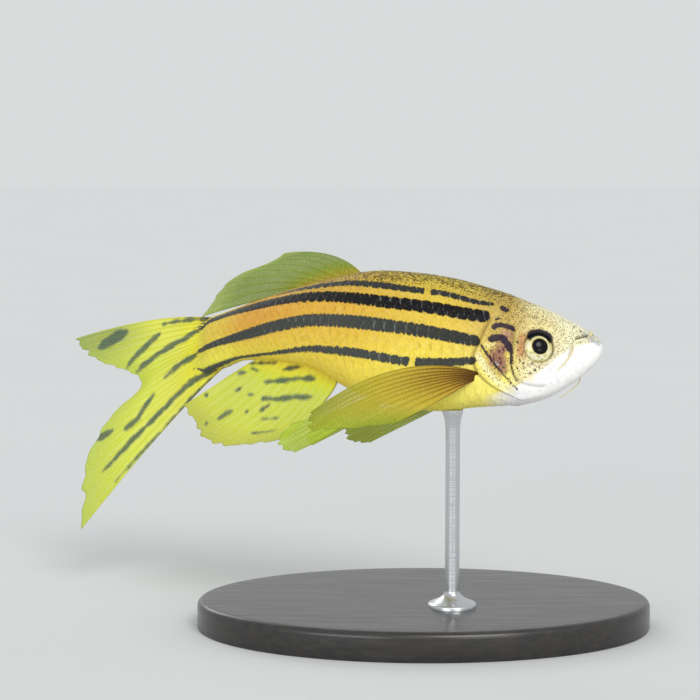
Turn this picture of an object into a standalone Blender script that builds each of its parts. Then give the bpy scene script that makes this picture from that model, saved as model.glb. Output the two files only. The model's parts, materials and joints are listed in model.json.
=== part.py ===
"""A long-finned zebra danio, life size, banking in a turn on a display stand.

Lengths are in millimetres, and MM turns them into metres as each mesh is made.
The origin is the middle of the stand's underside, +Z is up and the head points
towards +X. The fish is banked, so that its belly turns a little towards -Y.
"""

import math

import bmesh
import bpy
import numpy as np
from mathutils import Matrix

MM = 0.001
GAP = 0.3

# The long axis from the snout to the base of the tail fin
AXIS = [
    (14.6, -2.0, 23.6),
    (9.5, -2.0, 23.9),
    (4.5, -1.8, 24.4),
    (-1.5, -0.8, 25.0),
    (-8.4, 2.3, 25.5),
    (-14.3, 6.8, 24.6),
    (-19.3, 11.8, 22.7),
]
BANK = ((0.0, 1.0), (22.0, 27.0))

# Share of the axis, height above it, depth below it, half width
PROFILE = np.array([
    (0.000, 0.00, 0.00, 0.00),
    (0.004, 0.48, 0.66, 0.55),
    (0.016, 0.94, 1.36, 0.98),
    (0.064, 2.05, 3.10, 1.62),
    (0.128, 3.08, 4.70, 2.20),
    (0.193, 3.85, 5.35, 2.62),
    (0.257, 4.40, 5.80, 2.88),
    (0.328, 4.85, 6.45, 3.12),
    (0.416, 5.00, 6.50, 3.15),
    (0.514, 4.75, 5.60, 2.75),
    (0.614, 3.75, 4.15, 2.15),
    (0.715, 2.95, 3.35, 1.65),
    (0.810, 2.50, 2.80, 1.25),
    (0.900, 2.30, 2.50, 0.95),
    (1.000, 2.50, 2.60, 0.50),
])
SQUARENESS = ((0.0, 0.1, 0.25, 1.0), (2.0, 2.3, 2.1, 2.0))

# The gill cover's rear edge: degrees round the body from the back, share of the axis
GILL_EDGE = np.array([
    (0, 0.190),
    (45, 0.207),
    (78, 0.243),
    (97, 0.262),
    (122, 0.254),
    (148, 0.218),
    (180, 0.178),
])
TAIL_CUT = 0.815
RING = 36
HEAD_RINGS = 26
TRUNK_RINGS = 18
STALK_RINGS = 6
SNOUT_CROWDING = 1.7

# Places on the head: back from the snout along the axis, and up from the axis
EYE_BACK, EYE_UP = 5.43, -0.92
EYE_RADIUS, EYE_HALF_DEPTH = 1.22, 0.82
EYE_SUNK = 0.52
ORBIT_RIM, ORBIT_RIM_WIDTH = 0.10, 0.28
GAPE_FRONT = (0.62, 0.92)
GAPE_CORNER = (2.45, 0.25)
GAPE_WIDTH = 0.24
GAPE_REACH, GAPE_HALF_SPAN = 4.0, 3.0
LIP_RISE, LIP_WIDTH = 0.13, 0.30
LIP_END, LIP_FADE = 1.15, 0.3
COVER_STEP, COVER_STEP_WIDTH = 0.12, 0.8
COVER_SIDE, COVER_SIDE_FADE = 0.25, 0.3
CHEEK_GROOVE, CHEEK_GROOVE_WIDTH = 0.12, 0.22
CHEEK_GROOVE_BACK = 7.3
CHEEK_GROOVE_TOP, CHEEK_GROOVE_FOOT, CHEEK_GROOVE_FADE = 2.0, -3.6, 1.0
NOSTRIL_SHARE, NOSTRIL_TURN = 0.058, 57.0
NOSTRIL_RADIUS = 0.24

# Fins
MEMBRANE = 0.50
RAY_RISE = 0.12
RAY_CROWDED = 0.14
EDGE_THICKNESS = 0.26
THINS_FROM = 0.55
RAY_AT_EDGE = 0.4
FIN_ROWS, FIN_ROW_CROWDING = 9, 0.9

# Barbels
BARBEL_RADIUS, BARBEL_TIP = 0.26, 0.42

# The stand
BASE_LENGTH, BASE_WIDTH, BASE_HEIGHT = 38.0, 26.0, 2.4
BASE_BEVEL = 0.5
ROD_RADIUS = 0.6
ROD_FOOT_RADIUS, ROD_FOOT_HEIGHT = 2.0, 0.7
ROD_CUP_RADIUS = 0.85
ROD_CUP_HEIGHT, ROD_CUP_RIM = 1.2, 0.3
ROD_SHARE = 0.30
BASE_FOOT_INSET = 0.2
BASE_SIDES, ROD_SIDES = 72, 28
BELLY_TURNS = (150, 230, 0.5)

UP, DOWN = 1, -1
TINY = 1e-9


def smooth(knots, values, at):
    """A smooth curve through values at knots, read at the given places."""
    knots, values, at = (np.asarray(a, float) for a in (knots, values, at))
    table = values if values.ndim > 1 else values[:, None]
    steps = np.diff(knots)[:, None]
    rises = np.diff(table, axis=0) / steps
    slopes = np.empty_like(table)
    slopes[1:-1] = (rises[:-1] * steps[1:] + rises[1:] * steps[:-1]) / (steps[:-1] + steps[1:])
    slopes[0] = 1.5 * rises[0] - 0.5 * slopes[1]
    slopes[-1] = 1.5 * rises[-1] - 0.5 * slopes[-2]
    i = np.clip(np.searchsorted(knots, at, side="right") - 1, 0, len(steps) - 1)
    h = steps[i]
    u = ((at - knots[i]) / h[..., 0])[..., None]
    found = (
        (2 * u**3 - 3 * u**2 + 1) * table[i]
        + (u**3 - 2 * u**2 + u) * h * slopes[i]
        + (3 * u**2 - 2 * u**3) * table[i + 1]
        + (u**3 - u**2) * h * slopes[i + 1]
    )
    return found if values.ndim > 1 else found[..., 0]


def unit(vectors):
    return vectors / np.linalg.norm(vectors, axis=-1, keepdims=True)


class Spine:
    """The axis by share of its length, with its frame: back, up (dorsal) and side (right)."""

    def __init__(self):
        points = np.array(AXIS)
        chords = np.linalg.norm(np.diff(points, axis=0), axis=1)
        knots = np.concatenate([[0], np.cumsum(chords)])
        self.dense = smooth(knots, points, np.linspace(0, knots[-1], 600))
        runs = np.linalg.norm(np.diff(self.dense, axis=0), axis=1)
        self.along = np.concatenate([[0], np.cumsum(runs)])
        self.length = self.along[-1]
        self.along /= self.length

    def point(self, share):
        inside = np.clip(share, 0, 1)
        found = np.stack([np.interp(inside, self.along, self.dense[:, k]) for k in range(3)], -1)
        beyond = (np.asarray(share) - inside)[..., None] * self.length
        return found + beyond * self.back(share)

    def back(self, share):
        step = 0.01
        inside = np.clip(share, step, 1 - step)
        ends = [
            np.stack([np.interp(inside + d, self.along, self.dense[:, k]) for k in range(3)], -1)
            for d in (-step, step)
        ]
        return unit(ends[1] - ends[0])

    def frame(self, share):
        back = self.back(share)
        bank = np.radians(np.interp(share, *BANK))
        up = np.stack([0 * bank, np.sin(bank), np.cos(bank)], -1)
        up = unit(up - back * np.sum(up * back, -1, keepdims=True))
        return back, up, np.cross(up, back)


SPINE = Spine()
LENGTH = SPINE.length


def profile(share):
    """Height above the axis, depth below it and half width, at a share of the axis."""
    found = smooth(np.sqrt(PROFILE[:, 0]), PROFILE[:, 1:], np.sqrt(np.clip(share, 0, 1)))
    return np.moveaxis(np.maximum(found, 0), -1, 0)


def gill_share(turn):
    """The gill cover's rear edge at an angle round the body."""
    degrees = np.degrees(np.abs((turn + math.pi) % (2 * math.pi) - math.pi))
    return smooth(GILL_EDGE[:, 0], GILL_EDGE[:, 1], degrees)


def relief(back, up, turn):
    """How far the head's surface stands out: the orbit's rim, lips, cheek groove and gill cover."""
    side_on = np.abs(np.sin(turn))
    from_eye = np.hypot(back - EYE_BACK, up - EYE_UP)
    rim_radius = EYE_RADIUS + GAP
    rise = ORBIT_RIM * np.exp(-(((from_eye - rim_radius) / ORBIT_RIM_WIDTH) ** 2)) * side_on
    front, corner = np.array(GAPE_FRONT), np.array(GAPE_CORNER)
    gape = corner - front
    run = ((back - front[0]) * gape[0] + (up - front[1]) * gape[1]) / np.sum(gape**2)
    off = ((up - front[1]) * gape[0] - (back - front[0]) * gape[1]) / np.linalg.norm(gape)
    near = np.clip((LIP_END - run) / LIP_FADE, 0, 1)
    rise = rise + LIP_RISE * near * np.exp(-((off / LIP_WIDTH) ** 2))
    to_edge = gill_share(turn) * LENGTH - back
    over_side = np.clip((side_on - COVER_SIDE) / COVER_SIDE_FADE, 0, 1)
    rise = rise + COVER_STEP * np.exp(-((to_edge / COVER_STEP_WIDTH) ** 2)) * over_side
    groove = np.exp(-(((back - CHEEK_GROOVE_BACK) / CHEEK_GROOVE_WIDTH) ** 2))
    under_top = np.clip((CHEEK_GROOVE_TOP - up) / CHEEK_GROOVE_FADE, 0, 1)
    over_foot = np.clip((up - CHEEK_GROOVE_FOOT) / CHEEK_GROOVE_FADE, 0, 1)
    return rise - CHEEK_GROOVE * groove * under_top * over_foot * side_on


def skin(share, turn, lift=0.0, plain=False):
    """A point on the body: turn is the angle from the back, round by the right side."""
    share, turn = np.broadcast_arrays(np.asarray(share, float), np.asarray(turn, float))
    above, below, half = profile(share)
    power = 2 / np.interp(share, *SQUARENESS)
    c, s = np.cos(turn), np.sin(turn)
    height = np.where(c > 0, above, below)
    across = half * np.sign(s) * np.abs(s) ** power
    upward = height * np.sign(c) * np.abs(c) ** power
    out = unit(np.stack([np.sin(turn) * height, np.cos(turn) * half], -1) + TINY)
    rise = lift
    if not plain:
        in_front = share < gill_share(turn) + TINY
        rise = rise + np.where(in_front, relief(share * LENGTH, upward, turn), 0)
    across = across + out[..., 0] * rise
    upward = upward + out[..., 1] * rise
    _, up, side = SPINE.frame(share)
    return SPINE.point(share) + up * upward[..., None] + side * across[..., None]


def material(name, colour, roughness, metallic=0.0):
    made = bpy.data.materials.new(name)
    made.use_nodes = True
    shader = made.node_tree.nodes["Principled BSDF"]
    shader.inputs["Base Color"].default_value = (*colour, 1.0)
    shader.inputs["Roughness"].default_value = roughness
    shader.inputs["Metallic"].default_value = metallic
    return made


def mesh_object(name, points, faces, finish, collection):
    """An object whose closed mesh has these points, in millimetres, and faces, turned outwards."""
    mesh = bpy.data.meshes.new(name)
    mesh.from_pydata([tuple(p) for p in np.asarray(points, float)], [], faces)
    work = bmesh.new()
    work.from_mesh(mesh)
    bmesh.ops.recalc_face_normals(work, faces=work.faces)
    work.to_mesh(mesh)
    work.free()
    mesh.transform(Matrix.Scale(MM, 4))
    made = bpy.data.objects.new(name, mesh)
    made.data.materials.append(finish)
    collection.objects.link(made)
    return made


def tube_of_rings(name, rings, front, rear, finish, collection):
    """A closed loft through rings of equal size, closed by a point or a fan at each end."""
    count, size = rings.shape[:2]
    points = list(rings.reshape(-1, 3)) + [front, rear]
    faces = []
    for i in range(count - 1):
        for j in range(size):
            k = (j + 1) % size
            faces.append((i * size + j, i * size + k, (i + 1) * size + k, (i + 1) * size + j))
    for j in range(size):
        k = (j + 1) % size
        last = (count - 1) * size
        faces.append((count * size, k, j))
        faces.append((count * size + 1, last + j, last + k))
    made = mesh_object(name, points, faces, finish, collection)
    made.data.shade_smooth()
    return made


def turns():
    return np.linspace(0, 2 * math.pi, RING, endpoint=False)


def cut(target, cutter, tools):
    """Cuts the cutter's shape out of the target and keeps the result."""
    tools.objects.link(cutter)
    cutter.hide_render = True
    cutter.display_type = "WIRE"
    modifier = target.modifiers.new("cut_" + cutter.name, "BOOLEAN")
    modifier.operation = "DIFFERENCE"
    modifier.object = cutter


def ball(name, centre, radii, frame, segments=20, rings=12):
    """An ellipsoid whose three radii lie along the three unit vectors of the frame."""
    work = bmesh.new()
    bmesh.ops.create_uvsphere(work, u_segments=segments, v_segments=rings, radius=1.0)
    axes = np.array(frame)
    for vertex in work.verts:
        vertex.co = (np.asarray(centre) + (np.array(vertex.co) * radii) @ axes) * MM
    mesh = bpy.data.meshes.new(name)
    work.to_mesh(mesh)
    work.free()
    mesh.shade_smooth()
    return bpy.data.objects.new(name, mesh)


def turn_at(share, up, right=True):
    """The angle round the body where the surface lies this far up from the axis."""
    above, below, _ = profile(share)
    height = above if up > 0 else below
    power = np.interp(share, *SQUARENESS) / 2
    angle = math.acos(math.copysign(min(1.0, (abs(up) / height)) ** power, up))
    return angle if right else 2 * math.pi - angle


def surface_frame(share, turn):
    """Unit vectors back along the skin, round it and out of it."""
    step = 0.004
    back = unit(skin(share + step, turn, plain=True) - skin(share - step, turn, plain=True))
    around = unit(skin(share, turn + step, plain=True) - skin(share, turn - step, plain=True))
    out = unit(np.cross(around, back))
    if np.dot(out, skin(share, turn, plain=True) - SPINE.point(share)) < 0:
        out = -out
    return back, unit(np.cross(out, back)), out


def eye_place(right):
    """The centre and frame of an eye."""
    share = EYE_BACK / LENGTH
    turn = turn_at(share, EYE_UP, right)
    frame = surface_frame(share, turn)
    return skin(share, turn, plain=True) - frame[2] * EYE_SUNK, frame


def make_head(finish, parts, tools):
    angles = turns()
    growth = np.linspace(0, 1, HEAD_RINGS + 1)[1:] ** SNOUT_CROWDING
    rings = np.array([skin(gill_share(angles) * g, angles) for g in growth])
    rear = SPINE.point(float(np.mean(gill_share(angles))))
    head = tube_of_rings("head", rings, SPINE.point(0.0), rear, finish, parts)
    cut(head, mouth_cutter(), tools)
    for right in (True, False):
        word = "right" if right else "left"
        centre, frame = eye_place(right)
        socket = np.array([EYE_RADIUS, EYE_RADIUS, EYE_HALF_DEPTH]) + GAP
        cut(head, ball("socket_" + word, centre, socket, frame), tools)
        turn = math.radians(NOSTRIL_TURN) * (1 if right else -1)
        place = skin(NOSTRIL_SHARE, turn, plain=True)
        radii = np.full(3, NOSTRIL_RADIUS)
        frame = surface_frame(NOSTRIL_SHARE, turn)
        cut(head, ball("nostril_" + word, place, radii, frame, 10, 6), tools)
    return head


def mouth_cutter():
    """A thin plate through both sides of the snout, from the corner of the gape forwards."""
    front, corner = np.array(GAPE_FRONT), np.array(GAPE_CORNER)
    ahead = unit(front - corner)
    share = GAPE_CORNER[0] / LENGTH
    back, up, side = SPINE.frame(share)
    origin = SPINE.point(share) + up * corner[1]
    forward = back * ahead[0] + up * ahead[1]
    over = np.cross(forward, side)
    work = bmesh.new()
    bmesh.ops.create_cube(work, size=1.0)
    for vertex in work.verts:
        x, y, z = vertex.co
        place = origin + forward * (x + 0.5) * GAPE_REACH + side * 2 * y * GAPE_HALF_SPAN
        vertex.co = (place + over * z * GAPE_WIDTH) * MM
    mesh = bpy.data.meshes.new("gape")
    work.to_mesh(mesh)
    work.free()
    return bpy.data.objects.new("gape", mesh)


def make_eye(right, finish, parts):
    centre, frame = eye_place(right)
    radii = (EYE_RADIUS, EYE_RADIUS, EYE_HALF_DEPTH)
    eye = ball("eye_right" if right else "eye_left", centre, radii, frame, 24, 14)
    eye.data.materials.append(finish)
    parts.objects.link(eye)
    return eye


def make_trunk(finish, parts):
    angles = turns()
    start = gill_share(angles) + GAP / LENGTH
    growth = np.linspace(0, 1, TRUNK_RINGS)
    rings = np.array([skin(start + (TAIL_CUT - start) * g, angles, plain=True) for g in growth])
    front = SPINE.point(float(np.mean(start)))
    return tube_of_rings("trunk", rings, front, SPINE.point(TAIL_CUT), finish, parts)


def make_tail_stalk(finish, parts):
    angles = turns()
    start = TAIL_CUT + GAP / LENGTH
    rings = np.array(
        [skin(s, angles, plain=True) for s in np.linspace(start, 1.0, STALK_RINGS)]
    )
    ends = SPINE.point(start), SPINE.point(1.0)
    return tube_of_rings("tail_stalk", rings, *ends, finish, parts)


class Fin:
    """A fin by its root line on the body and a few key rays, each bent through a middle point.

    root gives a point for a share from the first ray to the last. The middles and tips are
    (back, out, side) in the frame of the fin's root: millimetres towards the tail, away
    from the body, and towards the fish's right.
    """

    def __init__(self, name, rays, root, frame, keys):
        self.name, self.rays, self.root = name, rays, root
        self.origin, self.axes = frame
        self.shares = [k[0] for k in keys]
        self.middles = np.array([k[1] for k in keys], float)
        self.tips = np.array([k[2] for k in keys], float)

    def surface(self, across, along):
        """The fin's middle surface: across from the first ray to the last, along from root to tip."""
        root = self.root(across)
        middle = self.origin + smooth(self.shares, self.middles, across) @ self.axes
        tip = self.origin + smooth(self.shares, self.tips, across) @ self.axes
        bend = 2 * middle - 0.5 * (root + tip)
        u = along[..., None]
        return (1 - u) ** 2 * root + 2 * u * (1 - u) * bend + u**2 * tip


def fin_grid(fin):
    """The places across and along a fin, with a column on each ray and one between."""
    across = np.linspace(0, 1, 2 * fin.rays - 1)
    along = np.linspace(0, 1, FIN_ROWS) ** FIN_ROW_CROWDING
    return np.meshgrid(across, along, indexing="ij")


def make_fin(fin, finish, parts):
    """A fin as one thin closed solid: a membrane whose rays are ridges in both its faces."""
    across, along = fin_grid(fin)
    middle = fin.surface(across, along)
    step = 1e-3
    over = fin.surface(np.clip(across + step, 0, 1), along) - fin.surface(
        np.clip(across - step, 0, 1), along
    )
    run = fin.surface(across, np.clip(along + step, 0, 1)) - fin.surface(
        across, np.clip(along - step, 0, 1)
    )
    out = unit(np.cross(over, run))
    columns, rows = across.shape
    on_ray = (np.arange(columns) % 2 == 0).astype(float)[:, None]
    thin = np.clip((along - THINS_FROM) / (1 - THINS_FROM), 0, 1)
    apart = np.linalg.norm(np.gradient(middle, axis=0), axis=-1)
    clear = np.clip((apart - RAY_CROWDED) / RAY_CROWDED, 0, 1)
    ridge = RAY_RISE * on_ray * clear * (1 - (1 - RAY_AT_EDGE) * thin)
    half = (MEMBRANE * (1 - thin) + EDGE_THICKNESS * thin) / 2 + ridge
    faces_of = (middle + out * half[..., None], middle - out * half[..., None])
    points = np.concatenate([f.reshape(-1, 3) for f in faces_of])
    back = columns * rows
    faces = []
    for i in range(columns - 1):
        for j in range(rows - 1):
            a, b = i * rows + j, (i + 1) * rows + j
            for tri in ((a, b, b + 1), (a, b + 1, a + 1)):
                faces.append(tri)
                faces.append(tuple(back + k for k in reversed(tri)))
    rim = (
        [(i, 0) for i in range(columns)]
        + [(columns - 1, j) for j in range(1, rows)]
        + [(i, rows - 1) for i in range(columns - 2, -1, -1)]
        + [(0, j) for j in range(rows - 2, 0, -1)]
    )
    places = [i * rows + j for i, j in rim]
    for a, b in zip(places, places[1:] + places[:1]):
        faces.append((b, a, back + a))
        faces.append((b, back + a, back + b))
    made = mesh_object(fin.name, points, faces, finish, parts)
    made.data.set_sharp_from_angle(angle=math.radians(50))
    return made


def root_on_skin(shares, degrees, lift=GAP):
    """A fin's root line: a stretch along the skin from its first ray to its last."""

    def root(across):
        share = shares[0] + (shares[1] - shares[0]) * across
        turn = np.radians(degrees[0] + (degrees[1] - degrees[0]) * across)
        return skin(share, turn, lift, plain=True)

    return root


def fin_frame(root, shares, outward):
    """The middle of a root line, with the axes back, out (up or down) and side there."""
    back, up, side = SPINE.frame(np.mean(shares))
    return root(np.array(0.5)), np.array([back, up * outward, side])


DORSAL_BASE = (0.545, 0.675)
ANAL_BASE = (0.548, 0.785)
PECTORAL_BASE, PECTORAL_TURNS = (0.256, 0.262), (128, 148)
PELVIC_BASE, PELVIC_TURNS = (0.434, 0.464), (160, 172)
PAIRED_LIFT, MEDIAN_LIFT = 0.66, 0.36
CAUDAL_HEIGHTS = (2.45, 0.15)
MIDDLE = 180


def dorsal_fin():
    root = root_on_skin(DORSAL_BASE, (0, 0))
    keys = (
        (0.00, (0.7, 1.9, -0.1), (5.6, 2.2, -0.4)),
        (0.25, (3.3, 1.6, -0.2), (8.3, 1.2, -0.8)),
        (0.50, (5.7, 0.7, -0.5), (10.8, 0.3, -1.4)),
        (0.75, (7.5, -0.4, -0.8), (13.5, -0.9, -2.4)),
        (1.00, (8.3, -1.5, -1.2), (15.1, -2.3, -3.5)),
    )
    return Fin("dorsal_fin", 9, root, fin_frame(root, DORSAL_BASE, UP), keys)


def anal_fin():
    root = root_on_skin(ANAL_BASE, (MIDDLE, MIDDLE), MEDIAN_LIFT)
    keys = (
        (0.00, (-3.2, 3.3, 0.1), (-0.2, 6.1, 0.1)),
        (0.25, (-0.6, 3.3, 0.1), (3.8, 6.6, 0.1)),
        (0.50, (2.4, 3.0, 0.0), (7.7, 6.6, -0.1)),
        (0.75, (5.3, 2.1, -0.1), (10.4, 5.0, -0.4)),
        (1.00, (8.3, 0.5, -0.7), (12.6, 2.8, -0.9)),
    )
    return Fin("anal_fin", 13, root, fin_frame(root, ANAL_BASE, DOWN), keys)


def pectoral_fin(right):
    """The near one lies back along the flank, the far one is spread out below the belly."""
    hand = 1 if right else -1
    root = root_on_skin(PECTORAL_BASE, np.array(PECTORAL_TURNS) * hand, PAIRED_LIFT)
    folded = (
        (0.0, (6.2, 0.2, 2.2), (12.4, 4.7, 3.3)),
        (0.5, (6.1, 1.9, 2.0), (11.9, 6.1, 2.8)),
        (1.0, (3.2, 2.5, 1.3), (5.9, 4.5, 2.0)),
    )
    spread = (
        (0.0, (4.3, 0.5, -4.2), (8.6, 2.2, -8.0)),
        (0.5, (5.4, 0.0, -4.2), (10.7, 2.1, -7.8)),
        (1.0, (5.9, -0.3, -3.8), (11.1, 0.4, -7.0)),
    )
    name = "pectoral_fin_right" if right else "pectoral_fin_left"
    frame = fin_frame(root, PECTORAL_BASE, DOWN)
    return Fin(name, 11, root, frame, folded if right else spread)


def pelvic_fin(right):
    hand = 1 if right else -1
    root = root_on_skin(PELVIC_BASE, np.array(PELVIC_TURNS) * hand, PAIRED_LIFT)
    near = (
        (0.0, (1.7, 2.4, 0.6), (5.0, 5.4, 1.4)),
        (0.5, (2.8, 1.6, 0.5), (6.8, 5.0, 1.2)),
        (1.0, (2.7, 1.2, 0.1), (6.3, 2.9, 0.6)),
    )
    far = (
        (0.0, (2.5, 1.1, -1.6), (6.2, 3.0, -3.4)),
        (0.5, (2.9, 0.7, -1.5), (6.9, 2.5, -3.2)),
        (1.0, (2.7, 0.7, -1.0), (5.9, 1.2, -2.7)),
    )
    name = "pelvic_fin_right" if right else "pelvic_fin_left"
    frame = fin_frame(root, PELVIC_BASE, DOWN)
    return Fin(name, 7, root, frame, near if right else far)


def caudal_fin(upper):
    """One lobe of the tail fin, its rays from the outer edge to the fork."""
    outward = UP if upper else DOWN
    back, up, side = SPINE.frame(np.array(1.0))
    base = SPINE.point(np.array(1.0))

    def root(across):
        first, last = CAUDAL_HEIGHTS
        height = first + (last - first) * across
        return base + back * GAP + up * outward * height[..., None]

    above = (
        (0.0, (7.7, 4.2, 0.5), (15.9, 3.8, 3.2)),
        (0.3, (6.9, 2.8, 0.5), (14.6, 2.0, 3.2)),
        (0.6, (5.7, 1.1, 0.4), (11.8, 0.4, 1.8)),
        (1.0, (4.7, -0.4, 0.2), (8.6, -1.3, 0.8)),
    )
    below = (
        (0.0, (4.9, 6.8, 0.4), (14.3, 14.8, 2.2)),
        (0.3, (5.7, 4.9, 0.4), (14.0, 9.9, 2.4)),
        (0.6, (5.5, 3.0, 0.3), (12.0, 5.2, 1.8)),
        (1.0, (5.0, 0.8, 0.2), (8.5, 2.0, 0.8)),
    )
    name = "caudal_fin_upper" if upper else "caudal_fin_lower"
    frame = base, np.array([back, up * outward, side])
    return Fin(name, 10, root, frame, above if upper else below)


# Barbels, each along a line above the skin: share of the axis, degrees round it, height off it
ROSTRAL_LINE = ((0.038, 72, 0.52), (0.026, 66, 0.85), (0.026, 46, 0.95), (0.036, 32, 0.80))
MAXILLARY_RIGHT = ((0.070, 99, 0.55), (0.076, 114, 0.65), (0.100, 130, 0.75), (0.132, 138, 0.75))
MAXILLARY_LEFT = ((0.070, -99, 0.55), (0.058, -125, 0.80), (0.066, -148, 0.90), (0.104, -165, 0.70))
BARBEL_SIDES, BARBEL_RINGS = 8, 9


def make_barbel(name, line, finish, parts):
    """A feeler as a tapering tube along a line above the skin."""
    table = np.array(line)
    stops = skin(table[:, 0], np.radians(table[:, 1]), table[:, 2], plain=True)
    growth = np.linspace(0, 1, BARBEL_RINGS)
    path = smooth(np.linspace(0, 1, len(stops)), stops, growth)
    ahead = unit(np.gradient(path, axis=0))
    across = unit(np.cross(ahead, SPINE.frame(np.array(0.05))[1]))
    over = np.cross(ahead, across)
    radius = BARBEL_RADIUS * (1 - (1 - BARBEL_TIP) * growth)
    angles = np.linspace(0, 2 * math.pi, BARBEL_SIDES, endpoint=False)[:, None]
    rings = np.array([
        p + r * (np.cos(angles) * a + np.sin(angles) * o)
        for p, r, a, o in zip(path, radius, across, over)
    ])
    tip = path[-1] + ahead[-1] * radius[-1]
    return tube_of_rings(name, rings, path[0], tip, finish, parts)


def make_turned(name, outline, centre, finish, parts, sides):
    """A closed body of oval rings, given as half length, half width and height."""
    angles = np.linspace(0, 2 * math.pi, sides, endpoint=False)
    rings = np.array([
        np.stack([a * np.cos(angles), b * np.sin(angles), 0 * angles + z], -1)
        for a, b, z in outline
    ]) + np.array(centre)
    low, high = (np.array(centre) + (0, 0, outline[k][2]) for k in (0, -1))
    made = tube_of_rings(name, rings, low, high, finish, parts)
    made.data.set_sharp_from_angle(angle=math.radians(30))
    return made


def belly_low_point(share):
    """The lowest point of the body at a share of the axis."""
    turn = np.radians(np.arange(*BELLY_TURNS))
    ring = skin(share, turn, plain=True)
    return ring[ring[:, 2].argmin()]


def make_stand(base_finish, rod_finish, parts):
    half_length, half_width, bevel = BASE_LENGTH / 2, BASE_WIDTH / 2, BASE_BEVEL
    steps = (
        (BASE_FOOT_INSET, 0.0),
        (0.0, BASE_FOOT_INSET),
        (0.0, BASE_HEIGHT - bevel),
        (0.3 * bevel, BASE_HEIGHT - 0.3 * bevel),
        (bevel, BASE_HEIGHT),
    )
    outline = [(half_length - k, half_width - k, z) for k, z in steps]
    make_turned("stand_base", outline, (0, 0, 0), base_finish, parts, BASE_SIDES)
    contact = belly_low_point(ROD_SHARE)
    foot, top = BASE_HEIGHT + GAP, contact[2] - GAP
    waist = foot + ROD_FOOT_HEIGHT
    turning = (
        (ROD_FOOT_RADIUS, foot),
        (ROD_FOOT_RADIUS, foot + 0.35 * ROD_FOOT_HEIGHT),
        (0.6 * ROD_FOOT_RADIUS, foot + 0.7 * ROD_FOOT_HEIGHT),
        (ROD_RADIUS, waist + 0.3),
        (ROD_RADIUS, top - ROD_CUP_HEIGHT),
        (ROD_CUP_RADIUS, top - ROD_CUP_RIM),
        (ROD_CUP_RADIUS, top),
    )
    outline = [(r, r, z) for r, z in turning]
    make_turned("stand_rod", outline, (contact[0], contact[1], 0), rod_finish, parts, ROD_SIDES)


def build():
    for thing in list(bpy.data.objects):
        bpy.data.objects.remove(thing)
    parts = bpy.data.collections.new("zebra_danio")
    tools = bpy.data.collections.new("cutters")
    for collection in (parts, tools):
        bpy.context.scene.collection.children.link(collection)
    flesh = material("flesh", (0.80, 0.56, 0.13), 0.35)
    membrane = material("fin_membrane", (0.72, 0.74, 0.20), 0.4)
    eye_finish = material("eye_surface", (0.85, 0.82, 0.62), 0.1)
    feeler = material("barbel_skin", (0.82, 0.78, 0.62), 0.4)
    board = material("stand_board", (0.03, 0.03, 0.035), 0.4)
    steel = material("stand_steel", (0.6, 0.6, 0.62), 0.3, 1.0)
    make_head(flesh, parts, tools)
    make_trunk(flesh, parts)
    make_tail_stalk(flesh, parts)
    fins = [dorsal_fin(), anal_fin(), caudal_fin(True), caudal_fin(False)]
    for right in (True, False):
        word = "right" if right else "left"
        make_eye(right, eye_finish, parts)
        fins += [pectoral_fin(right), pelvic_fin(right)]
        hand = np.array([1, 1 if right else -1, 1])
        make_barbel("barbel_rostral_" + word, np.array(ROSTRAL_LINE) * hand, feeler, parts)
        long_line = MAXILLARY_RIGHT if right else MAXILLARY_LEFT
        make_barbel("barbel_maxillary_" + word, long_line, feeler, parts)
    for fin in fins:
        make_fin(fin, membrane, parts)
    make_stand(board, steel, parts)


if __name__ == "__main__":
    build()
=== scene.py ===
"""The looks of a long-finned zebra danio, a life-size still model on a display stand.

Shapes are worked out in millimetres from named sizes, and MM turns them into metres.
The skin is one mesh over the head, trunk and tail stalk. Each fin is a thin sheet with
its rays raised, and the tail fin's two lobes are one sheet. The stripes, speckles and
scales are worked out on the mesh and given broken edges by the material nodes.
"""

import json
import math

import bpy
import numpy as np
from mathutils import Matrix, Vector

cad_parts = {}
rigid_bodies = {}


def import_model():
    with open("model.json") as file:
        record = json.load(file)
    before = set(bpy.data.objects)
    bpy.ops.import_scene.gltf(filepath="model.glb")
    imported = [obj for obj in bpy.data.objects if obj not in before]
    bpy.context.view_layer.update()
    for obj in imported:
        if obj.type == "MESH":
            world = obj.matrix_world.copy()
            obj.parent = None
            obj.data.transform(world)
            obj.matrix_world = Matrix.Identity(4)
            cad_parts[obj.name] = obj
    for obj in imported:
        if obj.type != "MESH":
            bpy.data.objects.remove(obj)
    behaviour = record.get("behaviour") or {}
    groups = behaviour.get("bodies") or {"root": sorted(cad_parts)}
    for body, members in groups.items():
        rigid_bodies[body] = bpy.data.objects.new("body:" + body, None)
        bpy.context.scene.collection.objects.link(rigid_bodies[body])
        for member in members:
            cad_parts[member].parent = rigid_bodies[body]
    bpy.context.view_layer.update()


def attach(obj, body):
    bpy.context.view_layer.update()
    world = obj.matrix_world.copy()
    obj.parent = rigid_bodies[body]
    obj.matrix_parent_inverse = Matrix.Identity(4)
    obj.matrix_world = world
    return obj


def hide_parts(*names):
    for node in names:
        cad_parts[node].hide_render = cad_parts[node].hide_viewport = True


MM = 0.001
TURN = 2 * math.pi
FAR, TINY = 1e9, 1e-9
# A small step over the skin, in shares and radians, and the points in each stretch of a line on it
NEARBY, LINE_POINTS = 0.004, 10

# The body's form, as in the solid parts, though the gill cover's edge runs further forward below.
# Its axis runs from the snout to the tail base.
AXIS = [
    (14.6, -2.0, 23.6),
    (9.5, -2.0, 23.9),
    (4.5, -1.8, 24.4),
    (-1.5, -0.8, 25.0),
    (-8.4, 2.3, 25.5),
    (-14.3, 6.8, 24.6),
    (-19.3, 11.8, 22.7),
]
AXIS_STEP, AXIS_POINTS = 0.01, 600
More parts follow.
